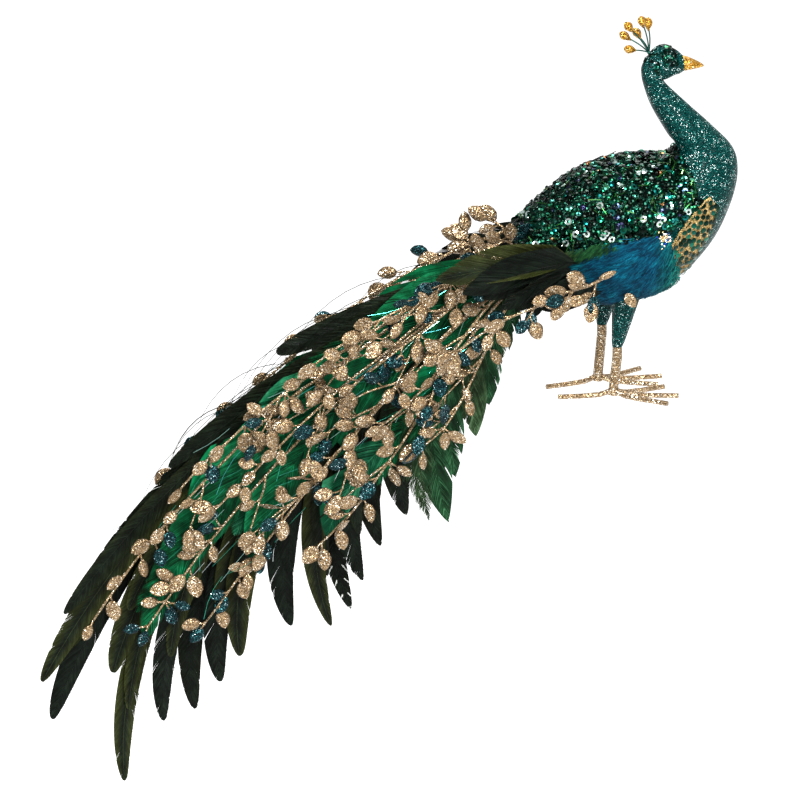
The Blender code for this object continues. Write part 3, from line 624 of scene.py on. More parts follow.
def patch_edges(place):
    """The lace's upper and lower edge at a place, in degrees round the body."""
    for (a, a_up, a_low), (b, b_up, b_low) in zip(FILIGREE_ROWS, FILIGREE_ROWS[1:]):
        if a <= place <= b:
            share = (place - a) / (b - a)
            return a_up + (b_up - a_up) * share, a_low + (b_low - a_low) * share


lace_finish = glitter("gold_lace", LACE_SHADES, 0.0009, 0.7, rough=(0.35, 0.60), metallic=0.55)
dot_finish = shiny("lace_sequins", DOT_SHADES, 0.3)
bead_finish = shiny("cluster_beads", BEAD_SHADES, 0.2)
first_place, last_place = FILIGREE_ROWS[0][0], FILIGREE_ROWS[-1][0]
for side, label in SIDES:
    # the sheet, with a grid face left out for each hole and along the ragged edge
    lace = Bundle()
    sheet = []
    for r in range(LACE_ROWS + 1):
        place = first_place + (last_place - first_place) * r / LACE_ROWS
        upper, lower = patch_edges(place)
        for c in range(LACE_COLUMNS + 1):
            degrees = side * (upper + (lower - upper) * c / LACE_COLUMNS)
            rumple = noise.noise(hide(place, degrees) * 700) * LACE_RUMPLE
            sheet.append(hide(place, degrees, LACE_LIFT + rumple))
    lace.add(sheet)
    for r in range(LACE_ROWS):
        for c in range(LACE_COLUMNS):
            a = r * (LACE_COLUMNS + 1) + c
            rim = min(r, LACE_ROWS - 1 - r, c, LACE_COLUMNS - 1 - c) / 7
            web = abs(noise.noise(sheet[a] * 260)) + 0.35 * abs(noise.noise(sheet[a] * 620))
            if web > 0.74 or noise.noise(sheet[a] * 190 + Vector((7, 7, 7))) > 0.20 + 0.6 * min(rim, 1):
                continue
            lace.faces.append((a, a + 1, a + LACE_COLUMNS + 2, a + LACE_COLUMNS + 1))
    # the gimp, three strands twisted round its line
    for strand in range(3):
        line = []
        for i in range(GIMP_STEPS + 1):
            share = i / GIMP_STEPS * (len(GIMP_LINE) - 1)
            k = min(int(share), len(GIMP_LINE) - 2)
            place, degrees = (a + (b - a) * (share - k) for a, b in zip(GIMP_LINE[k], GIMP_LINE[k + 1]))
            twist = tau * (i / 5 + strand / 3)
            lift = GIMP_LIFT + 0.0008 * sin(twist)
            line.append(hide(place, side * (degrees + 1.2 * cos(twist)), lift))
        lace.rod(line, [GIMP_STRAND] * len(line), sides=5)
    lace.settle(f"gold_lace_{label}", lace_finish, "gold_glitter", f"filigree_{label}")

    dots = Bundle()
    taken = []
    for _ in range(DOTS * 40):
        if len(taken) == DOTS:
            break
        place = between(first_place, last_place)
        upper, lower = patch_edges(place)
        degrees = between(upper - 2, lower + 2)
        point, out = seat_on_body(place, side * degrees, DOT_LIFT)[:2]
        if all((point - other).length > DOT_RADIUS * 1.75 for other in taken):
            taken.append(point)
            sequin(dots, point, tilted(out, 10), DOT_RADIUS * between(0.85, 1.1), dish=0.5, hole=0.04)
    dots.settle(f"lace_sequins_{label}", dot_finish, "sequin_green")

    cluster = Bundle()
    for _ in range(CLUSTER_BEADS):
        place = CLUSTER_PLACE[0] + chance.gauss(0, 0.10)
        degrees = CLUSTER_PLACE[1] + chance.gauss(0, 3.4)
        radius = between(0.0007, 0.0014)
        bead(cluster, hide(place, side * degrees, 0.0022 + between(0, 0.0025)), radius, sides=8)
    cluster.settle(f"bead_cluster_{label}", bead_finish, "gold_glitter")


# Down: marabou dyed peacock blue, one tuft glued on each flank, combed back and down from its top
# edge, with a fringe of bright green barbs where it meets the sequins.
DOWN_FIRST = 1.5
DOWN_LAST = 4.0
DOWN_UPPER = 91
DOWN_LOWER = 174
DOWN_THICKNESS = 0.0110
DOWN_BARBS = 5200
PAD_STEPS = 20
# the barbs seem combed away from this x and z
COMB_SOURCE = (0.048, 0.168)
FRINGE_BARBS = 780
FRINGE_LIFTS = (0.002, 0.0045)
BARB_TIMES = (0, 0.35, 0.7, 1)
BLUE_SHADES = [(0.0, (0.0, 0.004, 0.012)), (0.3, (0.0, 0.018, 0.040)), (0.65, (0.0, 0.052, 0.098)),
               (0.95, (0.002, 0.14, 0.22))]
SEA_SHADES = [(0.0, (0.0, 0.012, 0.014)), (0.5, (0.0, 0.055, 0.050)), (0.9, (0.01, 0.17, 0.12))]
FRINGE_SHADES = [(0.0, (0.0, 0.005, 0.002)), (0.5, (0.001, 0.018, 0.005)), (0.9, (0.008, 0.058, 0.014))]
GOLDEN_SHADES = [(0.0, (0.006, 0.012, 0.003)), (0.6, (0.035, 0.05, 0.01)), (0.95, (0.11, 0.13, 0.035))]


def down_lift(place, degrees):
    """How far the down stands off the body."""
    along = (place - DOWN_FIRST) / (DOWN_LAST - DOWN_FIRST)
    share = (degrees - DOWN_UPPER) / (DOWN_LOWER - DOWN_UPPER)
    bulge = sin(pi * (0.12 + 0.76 * along)) * sin(pi * (0.10 + 0.72 * share))
    return 0.0003 + DOWN_THICKNESS * max(0.0, bulge)


def plume(name, near, far, rough=0.75):
    """Dyed feather fibre: each barb has its own shade, and the tint mark runs from one dye to another."""
    finish = Finish(name, {"Roughness": rough, "Specular IOR Level": 0.08})
    streak = finish.streak(finish.mark("along") * 260)
    # the clouds darken the fibre in patches: painted shade for the dark gaps between tufts, over each barb's
    # own tone
    shade = finish.scrap() * 0.50 + streak * 0.45 + finish.cloud(0.011) * 0.90 - 0.43
    dyed = finish.mix(finish.mark("tint"), finish.ramp(near, shade), finish.ramp(far, shade))
    finish.set({"Base Color": dyed})
    return finish


down_finish = plume("blue_marabou", BLUE_SHADES, SEA_SHADES, 0.85)
fringe_finish = plume("green_marabou", FRINGE_SHADES, GOLDEN_SHADES)
for side, label in SIDES:
    # a dense pad under the barbs, its edges tucked into the body
    tuft = Bundle()
    pad = []
    for r in range(PAD_STEPS + 1):
        place = DOWN_FIRST + (DOWN_LAST - DOWN_FIRST) * r / PAD_STEPS
        row = []
        for c in range(PAD_STEPS + 1):
            degrees = DOWN_UPPER + (DOWN_LOWER - DOWN_UPPER) * c / PAD_STEPS
            tuck = min(1, r / 3, (PAD_STEPS - r) / 3, c / 2, (PAD_STEPS - c) / 3)
            lift = down_lift(place, degrees) * 0.7 * tuck - 0.0005 * (1 - tuck)
            row.append(hide(place, side * degrees, lift))
        pad.append(row)
    tuft.skin(pad, tint=0.2)
    for _ in range(DOWN_BARBS):
        place = between(DOWN_FIRST, DOWN_LAST + 0.1)
        degrees = between(DOWN_UPPER - 4, DOWN_LOWER)
        front = max(0, place - DOWN_LAST + 0.35) / 0.45
        if chance.random() < front**1.5 * 0.8:
            continue
        point, out = seat_on_body(place, side * degrees, down_lift(place, degrees) * 0.75)[:2]
        pull = Vector((point.x - COMB_SOURCE[0], 0, point.z - COMB_SOURCE[1]))
        pull = pull / max(pull.length, 0.012) * 0.8 + Vector((-0.45, 0, -0.16))
        pull += throw(0.22)
        run = (pull - out * pull.dot(out)).normalized()
        reach = between(0.010, 0.020) * (1.25 if place < 2.0 else 1.0) * (1 - 0.3 * front)
        rise = between(0.0005, 0.0030)
        line = []
        for t in BARB_TIMES:
            lift = rise * sin(pi * t * 0.8) - reach**2 * t * t / 0.11
            line.append(point + run * (reach * t) + out * lift)
        sea = min(1, max(0, (point.x - 0.034) / 0.022) + between(-0.15, 0.15) + (place < 1.8) * 0.3)
        tuft.strip(line, [0.00042, 0.00042, 0.0003, 0.0001], run.cross(out).normalized(), tint=max(0, sea))
    tuft.settle(f"blue_down_{label}", down_finish, "blue_down", f"down_tuft_{label}")

    fringe = Bundle()
    for _ in range(FRINGE_BARBS):
        place = between(0.2, 2.8)
        degrees = between(84, 92) + (1.8 - place) * 0.6
        if chance.random() < (place - 1.7) / 1.0:
            continue
        point, out, ahead, around = seat_on_body(place, side * degrees, between(*FRINGE_LIFTS))
        run = (-ahead * between(0.5, 1.2) + around * side * between(0.25, 0.8)).normalized()
        reach = between(0.006, 0.012) * (1.7 if place < 1.2 else min(1, 0.4 + 0.6 * (2.8 - place)))
        line = [point + run * (reach * t) + out * (0.003 * sin(pi * t * 0.8)) for t in BARB_TIMES]
        fringe.strip(line, [0.00042, 0.0004, 0.0003, 0.0001], run.cross(out).normalized(),
                     tint=min(1, max(0, (1.6 - place) * 0.8 + between(-0.2, 0.2))))
    fringe.settle(f"green_fringe_{label}", fringe_finish, "green_feather")


# Thighs and legs: padded cones in the same teal glitter, over thick wire bent to a shank and four
# toes, wound and dipped in champagne gold glitter. All four are the CAD solids with their finish.
CHAMPAGNE_FLAKES = [(0.0, (0.085, 0.052, 0.024)), (0.22, (0.16, 0.102, 0.050)), (0.5, (0.25, 0.166, 0.088)),
                    (0.76, (0.38, 0.280, 0.165)), (0.93, (1.0, 0.92, 0.78))]

# edge paints shade along the edges of the gold leaves
champagne_glitter = glitter("champagne_gold_glitter", CHAMPAGNE_FLAKES, 0.00065, 1.0, edge=0.75)
for side, label in SIDES:
    dress(f"thigh_{label}", teal_glitter)
    dress(f"leg_{label}", champagne_glitter)


# Wing feathers: black-green goose feathers glued under the coat's edge, three a side, lying back over
# the rump. Each is a quill with a vane of separate barbs, and has a shorter one tucked under it.
WING_SEAT = 0.0012
# place and degrees of the root, x and z of the tip, width, and how far it stands off the flank
WING_FEATHERS = [(1.45, 100, -0.164, 0.128, 0.034, 0.018), (1.30, 111, -0.121, 0.106, 0.030, 0.014),
                 (1.15, 121, -0.090, 0.090, 0.026, 0.011)]
LEFT_WING_DROOP = 0.028
LEFT_WING_WIDTH = 0.65
# one more feather on each side, from the down to under the third: place and degrees, then its tip
TUCKED_ROOT = (2.4, 122)
TUCKED_TIP = (-0.070, 0.046, 0.094)
TUCKED_WIDTH = 0.028
QUILL_RADIUS = 0.0006
QUILL_STEPS = 24
VANE_DROOP = 0.12
WING_OUT_RUN = 0.020
WING_ARCH = 0.008
# how far along a vane is broadest, and how slowly it fills: below 1 is full, near 1 is pointed
BLUNT = (1.3, 0.55)
POINTED = (1.05, 0.75)
WING_VANE = {"bare": 0.02, "slant": 20, "fray": 0.12, "form": POINTED}
TUCKED_VANE = {"bare": 0.02, "slant": 26, "fray": 0.12, "form": BLUNT}
BARB_STEPS = (0, 0.4, 0.75, 1)
WEB_STEP = 4
WEB_SPLIT = 0.13
WEB_SINK = 0.0004
BLACK_SHADES = [(0.0, (0.0005, 0.0007, 0.0005)), (0.45, (0.002, 0.0032, 0.002)),
                (0.62, (0.005, 0.010, 0.006)), (0.80, (0.009, 0.012, 0.007)), (1.0, (0.026, 0.026, 0.016))]
OLIVE_SHADES = [(0.0, (0.008, 0.009, 0.002)), (0.5, (0.030, 0.036, 0.008)), (0.85, (0.08, 0.092, 0.026)),
                (1.0, (0.20, 0.20, 0.09))]


def vane_half(share, width, form):
    """Half the width of a vane at a share of its length."""
    return width / 2 * sin(pi * min(1.0, max(0.0, share)) ** form[0]) ** form[1]


def barb_reach(share, width, run_ahead, form):
    """How far out a barb goes that starts at a share of the vane and ends on its outline."""
    low, high = 0.0, width / 2
    for _ in range(9):
        middle = (low + high) / 2
        if vane_half(share + run_ahead * middle, width, form) > middle:
            low = middle
        else:
            high = middle
    return low


def feather(bundle, route, width, face, bare, slant, fray, tint, spacing=0.0009, uneven=0.0, fluff=0.0006,
            roll=0.0, tip=0.7, webbed=True, form=BLUNT):
    """A quill along a route, with its barbs hooked into a closed web that splits here and there, or loose.

    Bare is the share of quill without barbs, slant their degrees off it, fray and fluff how far they
    stray in the vane and off it, and tip how thick they end.
    """
    shares = [i / QUILL_STEPS for i in range(QUILL_STEPS + 1)]
    spine = [route(share) for share in shares]
    length = sum((b - a).length for a, b in zip(spine, spine[1:]))
    bundle.rod(spine, [QUILL_RADIUS * (1 - 0.85 * share) + 0.0001 for share in shares], sides=5, tint=tint)
    count = int(length * (1 - bare) / spacing)
    slope = radians(slant)
    run_ahead = 1 / (tan(slope) * length * (1 - bare))
    seed = between(0, 100)
    webs = {-1: [[]], 1: [[]]}
    for n in range(count):
        share = (n + 0.5) / count
        q = bare + (1 - bare) * share
        base = route(q)
        ahead = (route(min(q + 0.01, 1)) - route(q - 0.01)).normalized()
        flat = ahead.cross(face).normalized()
        across = flat * cos(roll) + face * sin(roll)
        over = face * cos(roll) - flat * sin(roll)
        for side in (-1, 1):
            reach = barb_reach(share, width * (1 + side * uneven), run_ahead, form)
            wave = noise.noise(Vector((share * length * 60, seed + side * 9, 0)))
            split = max(0.0, abs(wave) - 0.25)
            if webbed and n % WEB_STEP == 0:
                if split > WEB_SPLIT:
                    webs[side].append([])
                fore = reach / tan(slope)
                webs[side][-1].append((q, [base + across * (side * reach * t) + ahead * (fore * t**1.2)
                                           - over * (VANE_DROOP * reach * t + WEB_SINK) for t in BARB_STEPS]))
            angle = slope * (1 + fray * (wave + split * 2.5) + 0.3 * fray * between(-1, 1))
            out = reach * (1 - fray * 0.4 * chance.random())
            fore = out / tan(angle)
            lift = fluff * between(-1, 1) + fluff * 2 * wave - VANE_DROOP * out
            line = [base + across * (side * out * t) + ahead * (fore * t**1.2) + over * (lift * t)
                    for t in BARB_STEPS]
            run = across * (side * out) + ahead * fore
            gloss = between(-0.35, 0.35)
            lie = run.cross(over).normalized() * cos(gloss) + over * sin(gloss)
            thick = spacing * sin(angle) * 0.75
            bundle.strip(line, [thick, thick, thick * 0.9, thick * tip], lie, along=q, tint=tint)
    for run in webs[-1] + webs[1]:
        if len(run) > 1:
            bundle.skin([points for q, points in run], rim=list(BARB_STEPS) * len(run),
                        along=[q for q, points in run for point in points], tint=tint)


def hackle_finish(name, near, far, barred=False):
    """Glossy feather: dark barbs that pale to the second dye toward their quill and their edge."""
    finish = Finish(name, {"Specular IOR Level": 0.06})
    along, rim = finish.mark("along"), finish.mark("rim")
    streak = finish.streak(along * 380 + rim * 2)
    shade = finish.scrap() * 0.25 + streak * 0.55 + finish.cloud(0.012) * 0.55 - 0.20
    pale = finish.mark("tint") * (rim * 0.9 + (1 - along) * 0.9 - 0.25)
    colour = finish.mix(pale, finish.ramp(near, shade), finish.ramp(far, shade))
    if barred:
        nicks = (((along * 24 + rim * 0.25) % 1) > 0.88) * (rim > 0.45)
        colour = finish.mix(nicks, colour, (0.62, 0.64, 0.60))
    ridges = finish.node("ShaderNodeBump", {}, {"Strength": 0.7, "Distance": 0.0012, "Height": streak})
    finish.set({"Base Color": colour, "Roughness": 0.30 + streak * 0.25, "Normal": ridges["Normal"]})
    return finish


black_finish = hackle_finish("black_green_feather", BLACK_SHADES, OLIVE_SHADES)
for side, label in SIDES:
    droop, trim = (0.0, 1.0) if side > 0 else (LEFT_WING_DROOP, LEFT_WING_WIDTH)
    for n, (root_place, root_degrees, tip_x, tip_z, width, stand_off) in enumerate(WING_FEATHERS):
        root = hide(root_place, side * root_degrees, WING_SEAT)

        def wing_route(q, reach=1.0, drop=0.0):
            arch = sin(pi * max(0, q) ** 0.7) if q < 1 else 0.0
            x = root.x + (tip_x - root.x) * q * reach
            out = stand_off * (1 - exp((x - root.x) / WING_OUT_RUN))
            z = root.z + (tip_z - droop - root.z) * q * reach + WING_ARCH * arch - drop * q
            return Vector((x, root.y - side * (out + drop * 0.1), z))

        plumes = Bundle()
        face = Vector((0, -side, 0))
        broad = width * trim
        olive = 0.6 if n == 0 and side > 0 else 0.05
        feather(plumes, wing_route, broad, face, tint=olive, **WING_VANE)
        feather(plumes, lambda q: wing_route(q, 0.82, 0.014), broad * 0.9, face, tint=0.0, **WING_VANE)
        if n == 2:
            tuck = hide(TUCKED_ROOT[0], side * TUCKED_ROOT[1])
            tip = Vector((TUCKED_TIP[0], -side * TUCKED_TIP[1], TUCKED_TIP[2]))
            feather(plumes, lambda q: tuck.lerp(tip, q), TUCKED_WIDTH, face, tint=0.0, **TUCKED_VANE)
        plumes.settle(f"wing_plume_{label}_{n + 1}", black_finish, "black_feather",
                      f"wing_feather_{label}_{n + 1}")


# Tail feathers: long rooster hackles bound into the rump, the upper ones straight back, the lower
# ones falling off the tail's lower edge. Each piece is the outline feather with a shorter one on it.
TAIL_LENGTH = 0.500
TAIL_DROP_START = radians(22)
TAIL_DROP_END = radians(58)
TAIL_ROOT_DEPTH = 0.022
TAIL_MID_DEPTH = 0.050
TAIL_END_DEPTH = 0.034
TAIL_THICKEST = 0.4 * TAIL_LENGTH
FEATHER_LAYER = 0.075
ROOT_SPREAD = 0.016
LAYER_ORDER = [0, 3, -2, 1, -4, 2, -1, 4, -3]
# kind, tip along the tail, tip above its line (shares of the length), and the vane's width
TAIL_FEATHERS = [
    ("upper", 0.44, 0.080, 0.022), ("upper", 0.70, 0.070, 0.022), ("upper", 0.96, 0.050, 0.020),
    ("train", 1.13, 0.035, 0.020), ("train", 1.19, -0.020, 0.022),
    ("train", 1.06, -0.070, 0.024), ("train", 1.25, -0.180, 0.020),
    ("train", 1.10, -0.190, 0.022), ("train", 1.06, -0.240, 0.022),
    ("train", 0.98, -0.250, 0.024), ("train", 0.91, -0.248, 0.024),
    ("hanging", 0.80, -0.300, 0.024), ("hanging", 0.745, -0.352, 0.020),
    ("hanging", 0.69, -0.366, 0.022), ("hanging", 0.62, -0.335, 0.024),
    ("hanging", 0.54, -0.318, 0.024), ("hanging", 0.45, -0.295, 0.026),
    ("hanging", 0.33, -0.240, 0.026), ("hanging", 0.19, -0.196, 0.026),
]
FALL_TURN = radians(60)
BARRED_FEATHER = ("hanging", 3)
OLIVE_FEATHER = ("train", 4)
BARE_QUILL = {"upper": 0.25, "train": 0.38, "hanging": 0.30}


def tail_point(s, w, depth):
    """A point of the tail: s along its line from the rump, w above it, depth a share of its thickness."""
    radius = TAIL_LENGTH / (TAIL_DROP_END - TAIL_DROP_START)
    drop = TAIL_DROP_START + s / radius
    x = STATIONS[0][0] * FIGURE_HEIGHT + radius * sin(TAIL_DROP_START) - (radius + w) * sin(drop)
    z = STATIONS[0][1] * FIGURE_HEIGHT - radius * cos(TAIL_DROP_START) + (radius + w) * cos(drop)
    if s < TAIL_THICKEST:
        swell = sin(pi / 2 * max(0, s) / TAIL_THICKEST)
        thick = TAIL_ROOT_DEPTH + (TAIL_MID_DEPTH - TAIL_ROOT_DEPTH) * swell
    else:
        thin = min(1, (s - TAIL_THICKEST) / (TAIL_LENGTH * 0.8))
        thick = TAIL_MID_DEPTH + (TAIL_END_DEPTH - TAIL_MID_DEPTH) * thin
    off = min(1, abs(w + TAIL_LENGTH * 0.1) / (TAIL_LENGTH * 0.27))
    return Vector((x, -depth * thick * (1 - 0.3 * off * off), z))


def falling(root, tip_s, tip_w, layer):
    """The route of a tail feather: it leaves the rump along the tail and falls in an elliptic arc."""
    def route(q):
        turn = q * FALL_TURN
        along = sin(turn) / sin(FALL_TURN)
        down = (1 - cos(turn)) / (1 - cos(FALL_TURN))
        return tail_point(tip_s * along, root + (tip_w - root) * down, layer)
    return route


barred_finish = hackle_finish("barred_feather", BLACK_SHADES, OLIVE_SHADES, barred=True)
count = {"upper": 0, "train": 0, "hanging": 0}
for i, (kind, tip_s, tip_w, width) in enumerate(TAIL_FEATHERS):
    count[kind] += 1
    root = ROOT_SPREAD * (1 - 2 * (i // 9 + 0.5) / 3)
    layer = LAYER_ORDER[i % 9] * FEATHER_LAYER
    barred = (kind, count[kind]) == BARRED_FEATHER
    hackles = Bundle()
    for n, (reach, shift) in enumerate(((1.01, 0.0), (0.90, -0.030 if kind == "upper" else 0.030))):
        route = falling(root, tip_s * TAIL_LENGTH * reach, (tip_w * reach + shift) * TAIL_LENGTH,
                        layer + (0.0, 0.035)[n])
        tint = chance.choice((0.0, 0.1, 0.2, 0.9)) if kind != "upper" and not barred else 0.1
        if (kind, count[kind]) == OLIVE_FEATHER:
            tint = 1.0
        broad = width * (1.10, 0.94)[n] * (0.85 if kind == "upper" else 1.0)
        feather(hackles, route, broad, Vector((0, -1, 0)), bare=BARE_QUILL[kind], slant=27, fray=0.10,
                tint=tint, uneven=between(-0.15, 0.15), roll=between(-0.4, 0.4))
    hackles.settle(f"{kind}_hackle_{count[kind]}", barred_finish if barred else black_finish,
                   "black_feather", f"{kind}_feather_{count[kind]}")


# Green feathers: broad soft turkey flats dyed emerald, three laid under the sprays on the right and
# two on the left, with shorter ones tucked in like tiles between them.
GREEN_FEATHERS = [(0.46, -0.12), (0.98, -0.08), (0.74, -0.15)]
GREEN_WIDTH = 0.050
GREEN_LAYERS = [0.375, 0.45, 0.525]
GREEN_VANE = {"bare": 0.10, "slant": 22, "fray": 0.30, "spacing": 0.0008, "fluff": 0.0016, "tip": 0.3,
              "form": (0.9, 0.7)}
TILE_VANE = {"bare": 0.04, "slant": 22, "fray": 0.35, "spacing": 0.0007, "fluff": 0.0020, "tip": 0.3,
             "form": (0.9, 0.6)}
GREEN_TILES = 27
# three rows of tiles: how far each lies off the tail's line, and how far along it the row ends
TILE_ROWS = (-0.002, -0.034, -0.078)
TILE_ENDS = (0.27, 1.0, 0.20)
TILE_STEP = 0.044
EMERALD_SHADES = [(0.0, (0.0, 0.004, 0.001)), (0.35, (0.0, 0.022, 0.006)), (0.65, (0.0, 0.085, 0.026)),
                  (0.95, (0.002, 0.24, 0.085))]
MINT_SHADES = [(0.0, (0.0, 0.04, 0.02)), (0.6, (0.01, 0.16, 0.08)), (0.95, (0.16, 0.45, 0.30))]

emerald_finish = plume("emerald_feather", EMERALD_SHADES, MINT_SHADES, 0.6)
for side, label, number in ((1, "right", 3), (-1, "left", 2)):
    for i, (tip_s, tip_w) in enumerate(GREEN_FEATHERS[:number]):
        flat = Bundle()
        route = falling(-ROOT_SPREAD * 0.55 * (i - 1), tip_s * TAIL_LENGTH, tip_w * TAIL_LENGTH,
                        side * GREEN_LAYERS[i])
        feather(flat, route, GREEN_WIDTH, Vector((0, -side, 0)), tint=0.05, **GREEN_VANE)
        flat.settle(f"emerald_plume_{label}_{i + 1}", emerald_finish, "green_feather",
                    f"green_feather_{label}_{i + 1}")
    tiles = Bundle()
    for n in range(GREEN_TILES):
        start = (n // 3) * TILE_STEP + between(-0.015, 0.010)
        row = TILE_ROWS[n % 3] * min(1, 0.35 + start * 4) + between(-0.01, 0.008)
        reach = between(0.095, 0.130)
        sag = between(0.02, 0.06) if n % 3 == 2 else between(-0.01, 0.02)
        depth = side * (0.30 + 0.02 * (n % 9))
        if n % 3 != 1 and start > TILE_ENDS[n % 3]:
            continue

        def tile_route(q):
            return tail_point(start + reach * q, row - sag * q * q, depth)

        feather(tiles, tile_route, between(0.030, 0.042), Vector((0, -side, 0)),
                tint=chance.choice((0.0, 0.0, 0.0, 0.1, 0.3)), webbed=n % 2 == 0, **TILE_VANE)
    tiles.settle(f"emerald_tiles_{label}", emerald_finish, "green_feather")


# Loose strands: long hair-thin black barbs that stand off the tail's upper edge, and cut strands of
# iridescent tinsel laid among the green feathers. Both are bound in with the feathers.
HAIRS = 24
HAIR_STEPS = 12
HAIR_HALF = 0.0004
STRANDS = 60
STRAND_HALF = 0.00018
THREAD_SHADES = [(0.0, (0.05, 0.45, 0.30)), (0.4, (0.10, 0.60, 0.60)), (0.7, (0.45, 0.80, 0.70)),
                 (0.9, (0.85, 0.95, 0.95))]

hairs = Bundle()
for n in range(HAIRS):
    start = between(0.04, 0.30)
    reach = between(0.12, 0.22)
    low = 0.018 + between(-0.006, 0.006)
    bow = between(0.012, 0.030)
    depth = between(-0.35, 0.45)
    shares = [i / HAIR_STEPS for i in range(HAIR_STEPS + 1)]
    line = []
    for t in shares:
        rise = low + bow * sin(pi * t**0.8) - 0.012 * t * t
        line.append(tail_point(start + reach * t, rise, depth))
    hairs.strip(line, [HAIR_HALF * (1 - 0.75 * t) for t in shares], Vector((-0.6, 0, 0.8)))
hairs.settle("edge_hairs", black_finish, "black_feather")

thread_finish = shiny("iridescent_tinsel", THREAD_SHADES, 0.2)
for side, label in SIDES:
    threads = Bundle()
    for _ in range(STRANDS if side > 0 else STRANDS // 2):
        start = between(0.03, 0.40)
        low = between(-0.085, 0.030) * min(1, 0.3 + start * 4)
        reach = between(0.020, 0.055)
        drift = between(-0.5, 0.35) * reach
        depth = side * between(0.55, 0.80)
        line = [tail_point(start + reach * t, low + drift * t * t, depth) for t in (0, 0.33, 0.66, 1)]
        threads.strip(line, [STRAND_HALF] * 4, Vector((-0.57, 0.3, 0.76)).normalized())
    threads.settle(f"tinsel_strands_{label}", thread_finish, "green_feather")


# Marabou: loose downy plumes dyed green and olive, which hang from the tail's lower edge behind the
# wing and between the hackles.
MARABOU_WIDTH = 0.034
# along the tail and off its line: where each plume starts and where it ends
MARABOU = [(0.018, -0.018, 0.060, -0.080), (0.036, -0.028, 0.090, -0.108), (0.062, -0.040, 0.118, -0.126),
           (0.096, -0.050, 0.160, -0.146), (0.130, -0.066, 0.196, -0.176), (0.006, -0.012, 0.040, -0.058)]
MARABOU_VANE = {"bare": 0.02, "slant": 22, "fray": 0.55, "spacing": 0.0008, "fluff": 0.0035, "tip": 0.15,
                "form": (1.0, 0.7)}
FOREST_SHADES = [(0.0, (0.001, 0.006, 0.002)), (0.5, (0.003, 0.028, 0.009)), (0.9, (0.02, 0.10, 0.04))]
MOSS_SHADES = [(0.0, (0.003, 0.005, 0.002)), (0.5, (0.016, 0.026, 0.008)), (0.95, (0.10, 0.15, 0.075))]

marabou_finish = plume("sea_green_marabou", FOREST_SHADES, MOSS_SHADES, 0.6)
for side, label in SIDES:
    marabou = Bundle()
    for n, (s_a, w_a, s_b, w_b) in enumerate(MARABOU):
        for twin in range(2):
            start = s_a + 0.012 * twin
            along = s_b + 0.016 * twin - start
            down = w_b + 0.012 * twin - w_a
            depth = side * (0.28 + 0.05 * n - 0.03 * twin)

            def plume_route(q):
                return tail_point(start + along * q, w_a + down * q**1.2, depth)

            feather(marabou, plume_route, MARABOU_WIDTH, Vector((0, -side, 0)),
                    tint=chance.choice((0.1, 0.6, 0.9)), webbed=twin == 0, **MARABOU_VANE)
    marabou.settle(f"marabou_{label}", marabou_finish, "green_feather")


# Leaf sprays: wired stems with short stalks and pointed paper leaves, dipped whole in glitter, most
# champagne gold and about one leaf in four dark teal. They are bound at the rump and lie on the tail.
LEAVES = 7
# depth in the tail, root in it, first and last leaf along it, and the tip's height off its line
SPRAYS = [
    (1.08, 1.10, 0.04, 0.38, 0.060), (0.92, 0.25, 0.08, 0.36, -0.020),
    (1.00, -0.30, 0.08, 0.37, -0.110), (0.92, -0.80, 0.06, 0.33, -0.190),
    (0.84, 0.75, 0.40, 0.70, 0.048), (0.76, 0.25, 0.38, 0.70, -0.030),
    (0.84, -0.30, 0.38, 0.68, -0.120), (0.76, -0.80, 0.35, 0.62, -0.215),
    (0.68, 0.70, 0.70, 0.98, 0.022), (0.60, 0.00, 0.70, 0.96, -0.070), (0.68, -0.70, 0.68, 0.88, -0.150),
]
LEFT_SPRAYS = [0, 2, 4, 6, 9]
LEFT_SPRAY_DROOP = 0.014
SECOND_LEAF = 0.60
THIRD_LEAF = 0.20
TEAL_SHARE = 0.24
# share of the stem, degrees off it with downward positive, length and leaf places of each side twig
SIDE_TWIGS = [(0.42, -30, 0.040, 2), (0.62, 32, 0.042, 2)]
TOP_TWIGS = [(0.45, 26, 0.040, 2), (0.68, 30, 0.036, 2)]
RUMP_TWIGS = [(0.02, -60, 0.010, 2), (0.14, -48, 0.007, 2), (0.30, -40, 0.007, 1), (0.44, -26, 0.008, 1)]
LOW_TWIGS = [(0.42, -30, 0.036, 2), (0.66, -26, 0.036, 2)]
TOP_SPRAYS = (0, 4, 8)
LOW_SPRAYS = (3, 7, 10)
LEAF_SPLAY = 48
LEAF_LENGTH = 0.0165
LEAF_WIDTH = 0.0105
LEAF_THICKNESS = 0.0018
LEAF_SIDES = 10
LEAF_STEPS = 9
LEAF_GRAIN = 0.12
STALK_LENGTH = 0.006
STEM_DIAMETER = 0.0027
STEM_STEPS = 24
TEAL_LEAF_FLAKES = [(0.0, (0.0, 0.004, 0.006)), (0.35, (0.0003, 0.014, 0.017)), (0.7, (0.002, 0.036, 0.040)),
                    (0.90, (0.04, 0.17, 0.18)), (0.98, (0.6, 0.85, 0.9))]

# edge paints shade along the edges of the teal leaves
teal_leaf_finish = glitter("teal_leaf_glitter", TEAL_LEAF_FLAKES, 0.00065, 1.0, edge=0.5)


